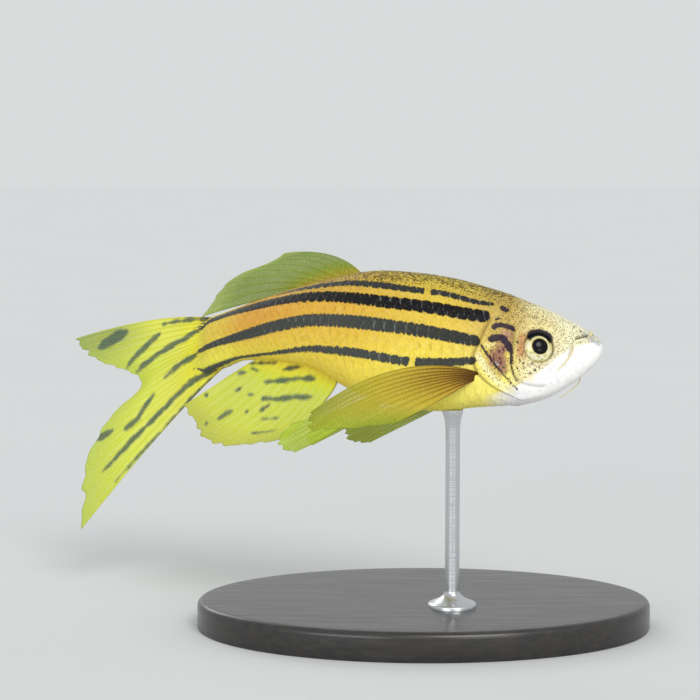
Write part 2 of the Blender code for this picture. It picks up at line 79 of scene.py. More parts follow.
# How the body banks: shares of the axis, then degrees
BANK = ((0.0, 1.0), (22.0, 27.0))
# Share of the axis, height above it, depth below it and half width
PROFILE = np.array([
    (0.000, 0.00, 0.00, 0.00),
    (0.004, 0.48, 0.66, 0.55),
    (0.016, 0.94, 1.36, 0.98),
    (0.064, 2.05, 3.10, 1.62),
    (0.128, 3.08, 4.70, 2.20),
    (0.193, 3.85, 5.35, 2.62),
    (0.257, 4.40, 5.80, 2.88),
    (0.328, 4.85, 6.45, 3.12),
    (0.416, 5.00, 6.50, 3.15),
    (0.514, 4.75, 5.60, 2.75),
    (0.614, 3.75, 4.15, 2.15),
    (0.715, 2.95, 3.35, 1.65),
    (0.810, 2.50, 2.80, 1.25),
    (0.900, 2.30, 2.50, 0.95),
    (1.000, 2.50, 2.60, 0.50),
])
# How square its sections are: shares of the axis, then the power of the oval
SQUARENESS = ((0.0, 0.1, 0.25, 1.0), (2.0, 2.3, 2.1, 2.0))
# The gill cover's edge: degrees from the back, and share of the axis
GILL_EDGE = np.array([
    (0, 0.190),
    (45, 0.207),
    (78, 0.240),
    (98, 0.256),
    (113, 0.267),
    (125, 0.260),
    (141, 0.228),
    (156, 0.186),
    (180, 0.150),
])

# Places on the head: back from the snout along the axis, and up from the axis
EYE_BACK, EYE_UP = 5.43, -0.92
EYE_SUNK = 0.52
EYE_RADIUS, EYE_HALF_DEPTH = 1.30, 0.86
EYE_NEAR = 1.6
GAPE_FRONT = (0.62, 0.92)
GAPE_CORNER = (2.45, 0.25)

# The skin's mesh: its rings are closer on the head, and the last ones lie in the tail fin
HEAD_END, HEAD_CROWDING = 0.28, 1.45
HEAD_RINGS, BODY_RINGS, TAIL_RINGS = 225, 240, 14
TAIL_REACH, TAIL_EDGE = 0.035, 0.04
RING, FAN_MARGIN = 208, 0.02
# Where its tail end narrows to an edge, how far the edge bows, and where it tucks in and loses its relief
NARROWS, NARROW_BOW = (0.93, 1.0), 0.030
TAIL_TUCK, TUCKS, FLATTENS = 0.20, (0.97, 1.03), (1.02, 0.97)
# The swelling under the tail stalk, by share of the axis and degrees from the back
TAIL_SWELL, SWELLS, SWELL_TURNS = 0.32, (0.84, 0.92), (115, 160)

# Scales: they start behind the gill cover, where the field of their edges takes over from its
# flat value, and they notch the stripes less towards the tail
SCALE_PITCH, SCALE_ROWS, SCALE_RISE = 0.80, 30, 0.085
SCALE_ARC, SCALE_RUN = 0.55 * SCALE_PITCH, 1.4 * SCALE_PITCH
SCALES_START, SCALED, UNSCALED = (0.1, -0.5), 0.3, 1.0
STRIPE_NOTCH, NOTCH_WIDTH, NOTCHES_END = 0.14, 0.13, (0.95, 0.6)

# Speckles: the least, how much more there is high up and behind, and where that comes in
HEAD_SPECKS, HEAD_MORE, HEAD_HIGH, HEAD_BEHIND = 0.36, 0.50, (95, 60), (0.08, 0.18)
BODY_SPECKS, BODY_HIGH, BODY_AHEAD, BODY_LOW = 0.30, (70, 34), (0.85, 0.45), (150, 120)
HEAD_PEPPER, PEPPER, PEPPER_MORE, PEPPER_HIGH, PEPPER_LOW = 0.66, 0.28, 0.24, (74, 40), (150, 125)


def srgb(red, green, blue):
    """A colour as seen on screen, from 0 to 255, as the linear one that Blender uses."""
    seen = np.array([red, green, blue]) / 255
    return tuple(np.where(seen > 0.04045, ((seen + 0.055) / 1.055) ** 2.4, seen / 12.92))


def smooth(knots, values, at):
    """A smooth curve through values at knots, read at the given places."""
    knots, values, at = (np.asarray(a, float) for a in (knots, values, at))
    table = values if values.ndim > 1 else values[:, None]
    steps = np.diff(knots)[:, None]
    rises = np.diff(table, axis=0) / steps
    slopes = np.empty_like(table)
    slopes[1:-1] = (rises[:-1] * steps[1:] + rises[1:] * steps[:-1]) / (steps[:-1] + steps[1:])
    slopes[0] = 1.5 * rises[0] - 0.5 * slopes[1]
    slopes[-1] = 1.5 * rises[-1] - 0.5 * slopes[-2]
    i = np.clip(np.searchsorted(knots, at, side="right") - 1, 0, len(steps) - 1)
    h = steps[i]
    u = ((at - knots[i]) / h[..., 0])[..., None]
    found = (
        (2 * u**3 - 3 * u**2 + 1) * table[i]
        + (u**3 - 2 * u**2 + u) * h * slopes[i]
        + (3 * u**2 - 2 * u**3) * table[i + 1]
        + (u**3 - u**2) * h * slopes[i + 1]
    )
    return found if values.ndim > 1 else found[..., 0]


def straight(knots, table, at):
    """Straight runs through the rows of a table, read at the given places."""
    return np.stack([np.interp(at, knots, column) for column in np.transpose(table)], -1)


def unit(vectors):
    return vectors / np.maximum(np.linalg.norm(vectors, axis=-1, keepdims=True), TINY)


def ease(low, high, at):
    """0 below low, 1 above high and smooth between, or the reverse where low is above high."""
    u = np.clip((at - low) / (high - low), 0, 1)
    return u * u * (3 - 2 * u)


def bump(at, width):
    return np.exp(-((at / width) ** 2))


class Spine:
    """The axis by share of its length, with its frame: back, up (dorsal) and side (right)."""

    def __init__(self):
        points = np.array(AXIS)
        chords = np.linalg.norm(np.diff(points, axis=0), axis=1)
        knots = np.concatenate([[0], np.cumsum(chords)])
        self.dense = smooth(knots, points, np.linspace(0, knots[-1], AXIS_POINTS))
        runs = np.linalg.norm(np.diff(self.dense, axis=0), axis=1)
        self.along = np.concatenate([[0], np.cumsum(runs)])
        self.length = self.along[-1]
        self.along /= self.length

    def within(self, share):
        return straight(self.along, self.dense, share)

    def point(self, share):
        inside = np.clip(share, 0, 1)
        beyond = (np.asarray(share) - inside)[..., None] * self.length
        return self.within(inside) + beyond * self.back(share)

    def back(self, share):
        inside = np.clip(share, AXIS_STEP, 1 - AXIS_STEP)
        return unit(self.within(inside + AXIS_STEP) - self.within(inside - AXIS_STEP))

    def frame(self, share):
        back = self.back(share)
        bank = np.radians(np.interp(share, *BANK))
        up = np.stack([0 * bank, np.sin(bank), np.cos(bank)], -1)
        up = unit(up - back * np.sum(up * back, -1, keepdims=True))
        return back, up, np.cross(up, back)


SPINE = Spine()
LENGTH = SPINE.length


def profile(share):
    """Height above the axis, depth below it and half width, at a share of the axis."""
    found = smooth(np.sqrt(PROFILE[:, 0]), PROFILE[:, 1:], np.sqrt(np.clip(share, 0, 1)))
    return np.moveaxis(np.maximum(found, 0), -1, 0)


def folded(turn):
    """The angle from the back, the same on both sides, in degrees."""
    return np.degrees(np.abs((turn + math.pi) % TURN - math.pi))


def gill_share(turn):
    return smooth(GILL_EDGE[:, 0], GILL_EDGE[:, 1], folded(turn))


def section(share, turn):
    """The offset right and up from the axis, and the way out, of a point on the body."""
    above, below, half = profile(share)
    power = 2 / np.interp(share, *SQUARENESS)
    c, s = np.cos(turn), np.sin(turn)
    height = np.where(c > 0, above, below)
    across = half * np.sign(s) * np.abs(s) ** power
    upward = height * np.sign(c) * np.abs(c) ** power
    out = unit(np.stack([s * height, c * half], -1) + TINY)
    return across, upward, out


def skin(share, turn, lift=0.0):
    """A point on the plain body: turn is the angle from the back, round by the right side."""
    share, turn = np.broadcast_arrays(np.asarray(share, float), np.asarray(turn, float))
    across, upward, out = section(share, turn)
    _, up, side = SPINE.frame(share)
    upward = upward + out[..., 1] * lift
    across = across + out[..., 0] * lift
    return SPINE.point(share) + up * upward[..., None] + side * across[..., None]


def turn_at(share, up, right):
    """The angle round the body where the surface lies this far up from the axis."""
    above, below, _ = profile(share)
    height = above if up > 0 else below
    power = np.interp(share, *SQUARENESS) / 2
    angle = math.acos(math.copysign(min(1.0, (abs(up) / height)) ** power, up))
    return angle if right else TURN - angle


def surface_frame(share, turn):
    """Unit vectors back along the skin, round it and out of it."""
    back = unit(skin(share + NEARBY, turn) - skin(share - NEARBY, turn))
    around = unit(skin(share, turn + NEARBY) - skin(share, turn - NEARBY))
    out = unit(np.cross(around, back))
    if np.dot(out, skin(share, turn) - SPINE.point(share)) < 0:
        out = -out
    return back, unit(np.cross(out, back)), out


def eye_place(right):
    """The centre and frame of an eye."""
    share = EYE_BACK / LENGTH
    turn = turn_at(share, EYE_UP, right)
    frame = surface_frame(share, turn)
    return skin(share, turn) - frame[2] * EYE_SUNK, np.array(frame)


def angle_from_back(offset, frame):
    """0 where a place round the eye lies towards the back of the fish, 1 where it lies below."""
    _, up, _ = SPINE.frame(np.array(EYE_BACK / LENGTH))
    across, over = frame[0] @ up, frame[1] @ up
    size = np.maximum(np.hypot(offset[..., 0], offset[..., 1]), TINY) * math.hypot(across, over)
    return (1 - (offset[..., 0] * across + offset[..., 1] * over) / size) / 2


def round_eye(points, right):
    """Each point's place in an eye's frame, its distance from the eye's axis, and if it is near."""
    centre, frame = eye_place(right)
    offset = (points - centre) @ frame.T
    return offset, np.hypot(offset[..., 0], offset[..., 1]), offset[..., 2] > -EYE_NEAR


def line_distance(points, line):
    """The distance of each point from a line through several places, and the share along it."""
    flat = points.reshape(-1, 3)
    best = np.full(len(flat), FAR)
    where = np.zeros(len(flat))
    line = np.asarray(line, float)
    for i, (a, b) in enumerate(zip(line[:-1], line[1:])):
        run = b - a
        u = np.clip((flat - a) @ run / np.dot(run, run), 0, 1)
        d = np.linalg.norm(flat - a - u[:, None] * run, axis=1)
        nearer = d < best
        best = np.where(nearer, d, best)
        where = np.where(nearer, (i + u) / (len(line) - 1), where)
    return best.reshape(points.shape[:-1]), where.reshape(points.shape[:-1])


def on_body(places, hand):
    """A line along the skin through (share, degrees) places, on the right (1) or left (-1)."""
    knots = np.arange(len(places))
    at = np.linspace(0, knots[-1], LINE_POINTS * knots[-1] + 1)
    curve = smooth if len(places) > 2 else straight
    found = curve(knots, np.array(places, float), at)
    return skin(found[:, 0], np.radians(found[:, 1]) * hand)


def both_sides(points, right, places):
    """The distance of each point from the line on its own side of the body."""
    distances = [line_distance(points, on_body(places, hand))[0] for hand in (1, -1)]
    return np.where(right, distances[0], distances[1])


def from_spot(points, spot, hand):
    """The distance of each point from a (share, degrees) spot on one side of the skin."""
    return np.linalg.norm(points - skin(spot[0], math.radians(spot[1]) * hand), axis=-1)


# Meshes


def add_attributes(mesh, attributes):
    for name, values in attributes.items():
        values = np.asarray(values, float)
        if values.shape[-1] == 3 and values.ndim > 1:
            made = mesh.attributes.new(name, "FLOAT_COLOR", "POINT")
            full = np.concatenate([values.reshape(-1, 3), np.ones((values.size // 3, 1))], 1)
            made.data.foreach_set("color", full.ravel())
        else:
            made = mesh.attributes.new(name, "FLOAT", "POINT")
            made.data.foreach_set("value", values.ravel())


def mesh_object(name, points, quads, triangles=(), uvs=None, attributes=None):
    """An object from points in millimetres, with faces given as arrays of point numbers."""
    mesh = bpy.data.meshes.new(name)
    quads = np.asarray(quads, int).reshape(-1, 4)
    triangles = np.asarray(triangles, int).reshape(-1, 3)
    corners = np.concatenate([quads.ravel(), triangles.ravel()])
    sizes = np.concatenate([np.full(len(quads), 4), np.full(len(triangles), 3)])
    mesh.vertices.add(len(points))
    mesh.vertices.foreach_set("co", (np.asarray(points, float) * MM).ravel())
    mesh.loops.add(len(corners))
    mesh.loops.foreach_set("vertex_index", corners)
    mesh.polygons.add(len(sizes))
    mesh.polygons.foreach_set("loop_start", np.concatenate([[0], np.cumsum(sizes)[:-1]]))
    mesh.update(calc_edges=True)
    if uvs is not None:
        layer = mesh.uv_layers.new(name="OFBake")
        layer.data.foreach_set("uv", np.asarray(uvs, float).ravel())
    if attributes:
        add_attributes(mesh, attributes)
    mesh.validate()
    mesh.shade_smooth()
    made = bpy.data.objects.new(name, mesh)
    bpy.context.scene.collection.objects.link(made)
    return made


def grid_faces(columns, rows):
    """The four corners of each cell of a grid whose points run column by column."""
    i, j = np.meshgrid(np.arange(columns - 1), np.arange(rows - 1), indexing="ij")
    first = i * rows + j
    return np.stack([first, first + rows, first + rows + 1, first + 1], -1).reshape(-1, 4)


def grid_uvs(columns, rows, low, high):
    """The matching corners in an upright strip of the texture square, from low to high across."""
    i, j = np.meshgrid(np.arange(columns - 1), np.arange(rows - 1), indexing="ij")
    u = low + (high - low) * np.stack([i, i + 1, i + 1, i], -1) / (columns - 1)
    v = np.stack([j, j, j + 1, j + 1], -1) / (rows - 1)
    return np.stack([u, v], -1).reshape(-1, 4, 2)


def tube_faces(count, sides):
    """The walls and end fans of a closed tube, whose points run ring by ring and end with its two ends."""
    i, j = np.meshgrid(np.arange(count - 1), np.arange(sides), indexing="ij")
    k = (j + 1) % sides
    walls = np.stack([i * sides + j, i * sides + k, (i + 1) * sides + k, (i + 1) * sides + j], -1)
    j, k = j[0], k[0]
    end, last = np.full(sides, count * sides), (count - 1) * sides
    fans = np.concatenate([np.stack([end, k, j], -1), np.stack([end + 1, last + j, last + k], -1)])
    return walls.reshape(-1, 4), fans


def tube_uvs(count, sides, margin):
    """The matching corners: the tube runs across the texture square, with its fans in the margins."""
    i, j = np.meshgrid(np.arange(count - 1), np.arange(sides), indexing="ij")
    u = margin + (1 - 2 * margin) * np.stack([i, i, i + 1, i + 1], -1) / (count - 1)
    v = np.stack([j, j + 1, j + 1, j], -1) / sides
    j = j[0]
    rounds = np.stack([j, j + 1, j], -1) / sides, np.stack([j, j, j + 1], -1) / sides
    ahead = np.broadcast_to([0, margin, margin], (sides, 3))
    fans = np.stack([np.concatenate([ahead, 1 - ahead]), np.concatenate(rounds)], -1)
    return np.stack([u, v], -1).reshape(-1, 4, 2), fans


def tube_object(name, rings, ends, attributes=None, order=1):
    """A closed tube from rings of points and its two ends. An order of -1 turns its faces over."""
    walls, fans = tube_faces(*rings.shape[:2])
    points = np.concatenate([rings.reshape(-1, 3), ends])
    return mesh_object(name, points, walls[:, ::order], fans[:, ::order], None, attributes)


def finish_piece(made, nodes, material):
    made.data.materials.append(material)
    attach(made, "root")
    if nodes:
        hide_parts(*nodes)
    return made


# Materials


class Nodes:
    """A short way to build a material's nodes."""

    def __init__(self, name):
        self.material = bpy.data.materials.new(name)
        self.material.use_nodes = True
        self.tree = self.material.node_tree
        self.shader = self.tree.nodes["Principled BSDF"]
        self.tree.nodes["Material Output"].target = "ALL"

    def node(self, kind, inputs=(), output=0, **settings):
        made = self.tree.nodes.new(kind)
        for key, value in settings.items():
            setattr(made, key, value)
        for key, value in dict(inputs).items():
            self.plug(made.inputs[key], value)
        return made.outputs[output]

    def plug(self, socket, value):
        if isinstance(value, bpy.types.NodeSocket):
            self.tree.links.new(value, socket)
        elif hasattr(value, "__len__") and len(value) == 3 and socket.type == "RGBA":
            socket.default_value = (*value, 1.0)
        else:
            socket.default_value = value

    def attribute(self, name, colour=False):
        return self.node("ShaderNodeAttribute", output=0 if colour else 2, attribute_name=name)

    def place(self):
        """The place on the object, in millimetres."""
        where = self.node("ShaderNodeTexCoord", output=3)
        return self.node("ShaderNodeVectorMath", {0: where, 3: 1 / MM}, operation="SCALE")

    def noise(self, scale, detail=3.0, roughness=0.6, place=None):
        inputs = {"Scale": scale, "Detail": detail, "Roughness": roughness}
        inputs["Vector"] = place or self.place()
        return self.node("ShaderNodeTexNoise", inputs)

    def cells(self, scale, place):
        return self.node("ShaderNodeTexVoronoi", {"Scale": scale, "Vector": place})

    def stretched(self, place, sizes):
        return self.node("ShaderNodeVectorMath", {0: place, 1: sizes}, operation="MULTIPLY")

    def maths(self, operation, a, b=0.0, c=0.0):
        return self.node("ShaderNodeMath", {0: a, 1: b, 2: c}, operation=operation)

    def times(self, a, b):
        return self.maths("MULTIPLY", a, b)

    def stirred(self, field, grain, amount):
        """A field moved up and down by a noise, so that its edges come out ragged."""
        return self.maths("MULTIPLY_ADD", self.maths("SUBTRACT", grain, 0.5), amount, field)

    def between(self, at, low, high, to_low=0.0, to_high=1.0):
        """0 where at is low and 1 where it is high, smooth between."""
        inputs = {0: at, 1: low, 2: high, 3: to_low, 4: to_high}
        return self.node("ShaderNodeMapRange", inputs, interpolation_type="SMOOTHSTEP")

    def mix(self, share, a, b):
        inputs = {0: share, 6: a, 7: b}
        return self.node("ShaderNodeMix", inputs, output=2, data_type="RGBA")

    def lay(self, under, tone, at, low, high, most=1.0):
        """A tone laid over a colour: not at all where at is low, and up to most where it is high."""
        return self.mix(self.between(at, low, high, 0.0, most), under, tone)

    def relief(self, height, strength, distance):
        inputs = {"Height": height, "Strength": strength, "Distance": distance}
        return self.node("ShaderNodeBump", inputs)

    def set(self, **values):
        for key, value in values.items():
            self.plug(self.shader.inputs[key.replace("_", " ")], value)
        return self.material


STRIPE_FRONT, STRIPE_REAR = srgb(8, 8, 18), srgb(82, 87, 82)
STRIPE_GLINT = srgb(122, 128, 128)
SPECK, SPECK_DARK = srgb(70, 50, 18), srgb(30, 28, 26)
BLOTCH_TONES = srgb(24, 22, 30), srgb(50, 38, 66)
FLECK, RUST, SCALE_RIM = srgb(255, 250, 225), srgb(150, 92, 20), srgb(110, 78, 24)
# The third colour here is the painted shade laid into the head's creases, grooves, mouth cut, nostrils and
# eye sockets
JAW_GREY, GILL_PINK, CREASE_SHADE = srgb(206, 208, 216), srgb(132, 84, 84), srgb(66, 50, 34)


def skin_material():
    n = Nodes("danio_skin")
    place = n.place()
    tint, speck = n.attribute("tint", colour=True), n.attribute("speck")
    grain = n.noise(7.0, 4.0, 0.65, place)
    fine = n.noise(22.0, 3.0, 0.6, place)
    soft = n.noise(1.6, 3.0, 0.5, place)
    colour = n.lay(tint, n.mix(0.55, tint, FLECK), grain, 0.35, 0.7, 0.30)
    colour = n.lay(colour, n.mix(0.5, tint, RUST), soft, 0.3, 0.75, 0.22)
    mottle = n.times(n.attribute("pale"), n.between(n.noise(2.6, 4.0, 0.65, place), 0.42, 0.70))
    colour = n.mix(n.times(mottle, 0.45), colour, JAW_GREY)
    edge = n.between(n.attribute("scale"), 0.12, 0.0, 0.0, 0.46)
    colour = n.mix(edge, colour, n.mix(0.6, tint, SCALE_RIM))
    pinks = n.between(n.times(n.attribute("pink"), n.between(grain, 0.3, 0.6)), 0.1, 0.7)
    colour = n.mix(n.times(pinks, 0.6), colour, GILL_PINK)
    sizes = n.times(speck, n.between(soft, 0.3, 0.7, 0.34, 0.52))
    dots = n.between(n.maths("SUBTRACT", n.cells(5.6, place), sizes), 0.06, -0.10, 0.0, 0.78)
    dots = n.times(dots, n.between(speck, 0.05, 0.3))
    pepper = n.maths("SUBTRACT", n.cells(6.4, place), n.times(n.attribute("pepper"), 0.52))
    dots = n.maths("MAXIMUM", dots, n.between(pepper, 0.05, -0.08, 0.0, 0.75))
    colour = n.mix(dots, colour, n.lay(SPECK, SPECK_DARK, soft, 0.4, 0.7))
    hue = n.mix(n.attribute("fade"), STRIPE_FRONT, STRIPE_REAR)
    hue = n.lay(hue, STRIPE_GLINT, n.maths("MULTIPLY_ADD", edge, 1.2, fine), 0.60, 0.90, 0.42)
    hue = n.lay(hue, n.mix(0.5, tint, hue), grain, 0.50, 0.80, 0.25)
    stripe = n.stirred(n.stirred(n.attribute("stripe"), grain, 0.50), fine, 0.16)
    colour = n.lay(colour, hue, stripe, -0.035, 0.045)
    blotch = n.stirred(n.attribute("blotch"), grain, 0.5)
    colour = n.lay(colour, n.mix(fine, *BLOTCH_TONES), blotch, -0.04, 0.05, 0.95)
    return n.set(
        # Painted shade darkens the head's creases, grooves, mouth cut, nostrils and eye sockets
        Base_Color=n.mix(n.attribute("crease_shade"), colour, CREASE_SHADE),
        Roughness=n.between(grain, 0.3, 0.7, 0.30, 0.48),
        Specular_IOR_Level=0.07,
        Subsurface_Weight=0.06,
        Subsurface_Radius=(0.0006, 0.0004, 0.0002),
        Subsurface_Scale=1.0,
        Metallic=n.between(grain, 0.35, 0.65, 0.0, 0.10),
        Normal=n.relief(n.maths("MULTIPLY_ADD", fine, 0.4, grain), 0.25, 0.00006),
    )


LEMON_FLECK, RAY_JOINT = srgb(240, 240, 150), srgb(60, 60, 20)
MARK_ROOT, MARK_TONES = srgb(34, 29, 36), (srgb(34, 54, 66), srgb(84, 112, 90))


def fin_material(name, ray_root, ray_tip, thin, thick, ray_share):
    """A tinted membrane, see-through between its rays."""
    n = Nodes(name)
    place = n.place()
    ray, reach = n.attribute("ray"), n.attribute("reach")
    tint = n.attribute("tint", colour=True)
    grain = n.noise(6.0, 4.0, 0.6, place)
    fine = n.noise(20.0, 3.0, 0.6, place)
    broad = n.noise(0.9, 2.0, 0.5, place)
    colour = n.lay(tint, n.mix(0.5, tint, LEMON_FLECK), grain, 0.35, 0.7, 0.35)
    rays = n.lay(ray_root, ray_tip, reach, 0.1, 0.75)
    colour = n.mix(n.times(ray, n.between(reach, 0.0, 0.7, ray_share, 0.6)), colour, rays)
    joints = n.maths("SINE", n.times(n.attribute("run"), 20.0))
    jointed = n.times(n.between(joints, 0.75, 0.98), n.times(ray, 0.45))
    colour = n.mix(jointed, colour, n.mix(0.6, rays, RAY_JOINT))
    mark = n.stirred(n.stirred(n.attribute("mark"), grain, 0.40), broad, 0.60)
    dark = n.between(mark, -0.20, 0.18, 0.0, 0.90)
    colour = n.mix(dark, colour, n.lay(MARK_ROOT, n.mix(fine, *MARK_TONES), reach, 0.0, 0.22))
    cover = n.maths("MULTIPLY_ADD", ray, thick - thin, n.between(reach, 0.02, 0.40, 1.0, thin))
    cover = n.maths("MAXIMUM", cover, n.times(dark, 0.92))
    return n.set(
        Base_Color=colour,
        Roughness=n.between(grain, 0.3, 0.7, 0.32, 0.5),
        Specular_IOR_Level=0.12,
        Subsurface_Weight=0.20,
        Subsurface_Radius=(0.0006, 0.0005, 0.0002),
        Subsurface_Scale=1.0,
        Alpha=n.node("ShaderNodeClamp", {0: cover, 1: 0.0, 2: 0.98}),
        Normal=n.relief(n.maths("MULTIPLY_ADD", joints, 0.15, fine), 0.2, 0.00004),
    )


# The skin

# Dark stripes: share of the axis and degrees from the back, then half width in millimetres
STRIPES = (
    (((0.240, 59.5), (0.27, 61.5), (0.34, 59.0), (0.40, 58.6), (0.45, 56.5), (0.51, 53.2),
      (0.57, 48.0), (0.64, 42.0), (0.72, 34.0), (0.82, 25.0), (1.04, 15.0)),
     ((0.20, 0.20), (0.30, 0.32), (0.45, 0.38), (0.62, 0.34), (0.72, 0.14), (0.80, -0.16), (1.04, -0.4))),
    (((0.244, 77.3), (0.29, 78.5), (0.35, 77.5), (0.42, 76.2), (0.49, 74.2), (0.557, 70.5),
      (0.65, 62.5), (0.73, 56.5), (0.81, 50.5), (0.91, 42.0), (1.04, 38.5)),
     ((0.22, 0.58), (0.30, 0.61), (0.50, 0.58), (0.78, 0.46), (0.90, 0.31), (1.04, 0.25))),
    (((0.258, 101.0), (0.30, 99.5), (0.38, 97.0), (0.47, 95.8), (0.566, 96.2), (0.642, 98.0),
      (0.713, 102.0), (0.80, 107.5), (0.87, 109.5), (0.94, 107.0), (1.04, 100.0)),
     ((0.25, 0.48), (0.30, 0.55), (0.50, 0.61), (0.77, 0.53), (0.90, 0.32), (1.04, 0.22))),
    (((0.262, 116.8), (0.31, 118.7), (0.38, 121.0), (0.464, 120.8), (0.51, 122.5), (0.57, 128.0),
      (0.64, 136.5), (0.70, 145.5), (0.78, 156.0), (0.88, 163.0), (1.04, 168.0)),
     ((0.26, 0.32), (0.33, 0.42), (0.52, 0.40), (0.66, 0.25), (0.74, 0.17), (0.86, 0.15), (1.04, 0.20))),
)
# Where a stripe is broken: its number, share of the axis, half length in millimetres
BREAKS = ((0, 0.378, 0.20), (3, 0.384, 0.18))
# How much lighter and greyer each stripe is at these shares of the axis
FADE_SHARES = (0.22, 0.55, 0.95)
FADES = ((0.25, 0.35, 0.6), (0.0, 0.10, 0.45), (0.15, 0.65, 0.55), (0.45, 0.70, 0.8))

# The skin's ground colours: share of the axis, then on the back, on the flank and below
TONE_TURNS = (22, 82, 150)
TONES = (
    (0.00, srgb(210, 210, 186), srgb(226, 226, 204), srgb(246, 246, 240)),
    (0.07, srgb(232, 232, 204), srgb(226, 222, 180), srgb(248, 247, 240)),
    (0.14, srgb(228, 222, 174), srgb(220, 204, 140), srgb(246, 240, 208)),
    (0.21, srgb(168, 144, 46), srgb(184, 156, 70), srgb(250, 236, 116)),
    (0.35, srgb(178, 160, 38), srgb(214, 182, 46), srgb(250, 236, 78)),
    (0.58, srgb(170, 140, 28), srgb(214, 166, 36), srgb(236, 208, 54)),
    (0.80, srgb(192, 142, 28), srgb(214, 154, 36), srgb(230, 208, 52)),
    (0.94, srgb(216, 192, 44), srgb(224, 194, 46), srgb(226, 220, 56)),
    (1.04, srgb(228, 216, 54), srgb(230, 220, 56), srgb(226, 228, 60)),
)

JAW_WHITE = srgb(250, 249, 248)

# Marks on the head: places on the skin, and half width
BLOTCHES = (
    (((0.236, 88.5), (0.226, 85.5), (0.212, 85.0), (0.198, 87.0)), 0.23),
    (((0.238, 98.0), (0.224, 95.8), (0.212, 97.5), (0.202, 103.5)), 0.30),
    (((0.200, 100.0), (0.196, 108.0), (0.195, 117.0)), 0.13),
    (((0.222, 62.5), (0.215, 64.0)), 0.27),
    (((0.234, 80.0), (0.228, 77.0)), 0.10),
    (((0.257, 103.5), (0.246, 109.5), (0.233, 115.8), (0.217, 123.8)), 0.10),
    (((0.217, 123.8), (0.200, 132.5), (0.178, 146.0)), 0.06),
    (((0.231, 110.5), (0.226, 118.5), (0.217, 113.0)), 0.05),
    (((0.194, 118.0), (0.188, 128.0), (0.176, 138.0)), 0.06),
)
CHEEK_DOTS = (
    (0.183, 104), (0.178, 113), (0.168, 120.5), (0.155, 125.7), (0.145, 122.2), (0.176, 107.5),
    (0.170, 115.5), (0.160, 118.0), (0.152, 115.0), (0.137, 119.5), (0.187, 97.0), (0.182, 121.0),
    (0.216, 117.0), (0.209, 121.5), (0.222, 107.0), (0.236, 108.0), (0.213, 105.0), (0.226, 122.0),
)
DOT_RADIUS = 0.10
LID_HALF, LID_TAPER, LID_THINS = 0.22, 0.5, (0.10, 0.42)
# A blush along a line on the gill cover, between a share of the axis and the cover's edge
GILL_BLUSH = ((0.200, 92.0), (0.222, 108.0), (0.218, 121.0))
BLUSH_REACH, BLUSH_STARTS, BLUSH_EDGE = (1.2, 0.2), (0.192, 0.199), (-0.05, 0.1)

# Relief of the head: lines on the skin as share of the axis and degrees from the back
PREOPERCLE = ((0.193, 88.0), (0.195, 100.0), (0.194, 118.0), (0.186, 129.0), (0.165, 139.0), (0.125, 146.0))
OPERCLE_RIDGE = ((0.197, 86.0), (0.214, 92.0), (0.238, 98.0))
SUBOPERCLE = ((0.252, 106.0), (0.233, 116.5), (0.217, 124.5), (0.200, 133.0), (0.180, 145.0))
JAW_FOLD = ((0.064, 88.0), (0.074, 100.0), (0.076, 112.0))
CHEEK_FOLD = ((0.098, 112.0), (0.122, 128.0), (0.150, 128.5), (0.172, 118.0))
# Each groove with its depth, width and the strength of its painted shade, and how much narrower that
# shade's dark line is
GROOVE_LINE = 0.7
GROOVES = (
    (PREOPERCLE, 0.11, 0.13, 0.35),
    (SUBOPERCLE, 0.05, 0.10, 0.20),
    (JAW_FOLD, 0.07, 0.09, 0.25),
    (CHEEK_FOLD, 0.04, 0.12, 0.08),
)
RIDGE_HEIGHT, RIDGE_WIDTH = 0.06, 0.16
# The eye socket's depth and edge, then the painted shade along its edge and that shade's width
SOCKET_DEPTH, SOCKET_EDGE, SOCKET_SHADE, SOCKET_LINE = 0.95, 1.08, 0.16, 0.07
# Folds round the eye by distance from its axis, and along the mouth by distance from its cut:
# place, width and height
EYE_FOLDS = ((1.44, 0.13, 0.09), (1.70, 0.12, -0.03))
LIP_FOLDS = ((0.24, 0.15, 0.13), (-0.22, 0.15, 0.12), (0.50, 0.08, -0.05))
# The mouth's cut: its depth and width, then the painted shade in it and that shade's width
GAPE_DEPTH, GAPE_WIDTH, GAPE_SHADE, GAPE_LINE = 0.42, 0.065, 0.9, 0.06
# Where the cut and the lips end, as shares of the way from the mouth's front to its corner
GAPE_ENDS, LIPS_END = (1.06, 0.94), (1.2, 0.9)
# The gill cover's step, with the degrees from the back that it covers, and the groove behind it
COVER_RISE, COVER_SLOPE, COVER_STEP = 0.22, 1.1, (-0.05, 0.03)
COVER_FROM, COVER_TO = (72, 90), (174, 160)
COVER_GROOVE, GROOVE_PLACE, GROOVE_WIDTH = 0.10, 0.14, 0.12
# The painted shade in the groove behind the gill cover: its strength, and its place and width
COVER_SHADE, COVER_LINE = 0.42, 0.10
# The jaw's white upper edge: share of the axis and degrees from the back
WHITE_EDGE = ((0.0, 62), (0.02, 80), (0.036, 92), (0.066, 97.5), (0.103, 109.8), (0.129, 121.8),
              (0.155, 132), (0.176, 140.8), (0.21, 150), (0.25, 160), (1.1, 175))
WHITE_BLUR, WHITE_ENDS, HEAD_STARTS = (3, -3), (0.250, 0.180), (-0.1, 0.4)
# Nostrils: place on the skin, and radius, then their depth, the painted shade in their hollows, and their
# rim
NOSTRILS = (((0.052, 57.0), 0.15), ((0.066, 54.5), 0.12))
NOSTRIL_DEPTH, NOSTRIL_FLOOR, NOSTRIL_SHADE, NOSTRIL_CORE = 0.22, 0.5, 0.8, 0.6
RIM_HEIGHT, RIM_PLACE, RIM_WIDTH = 0.05, 1.25, 0.06
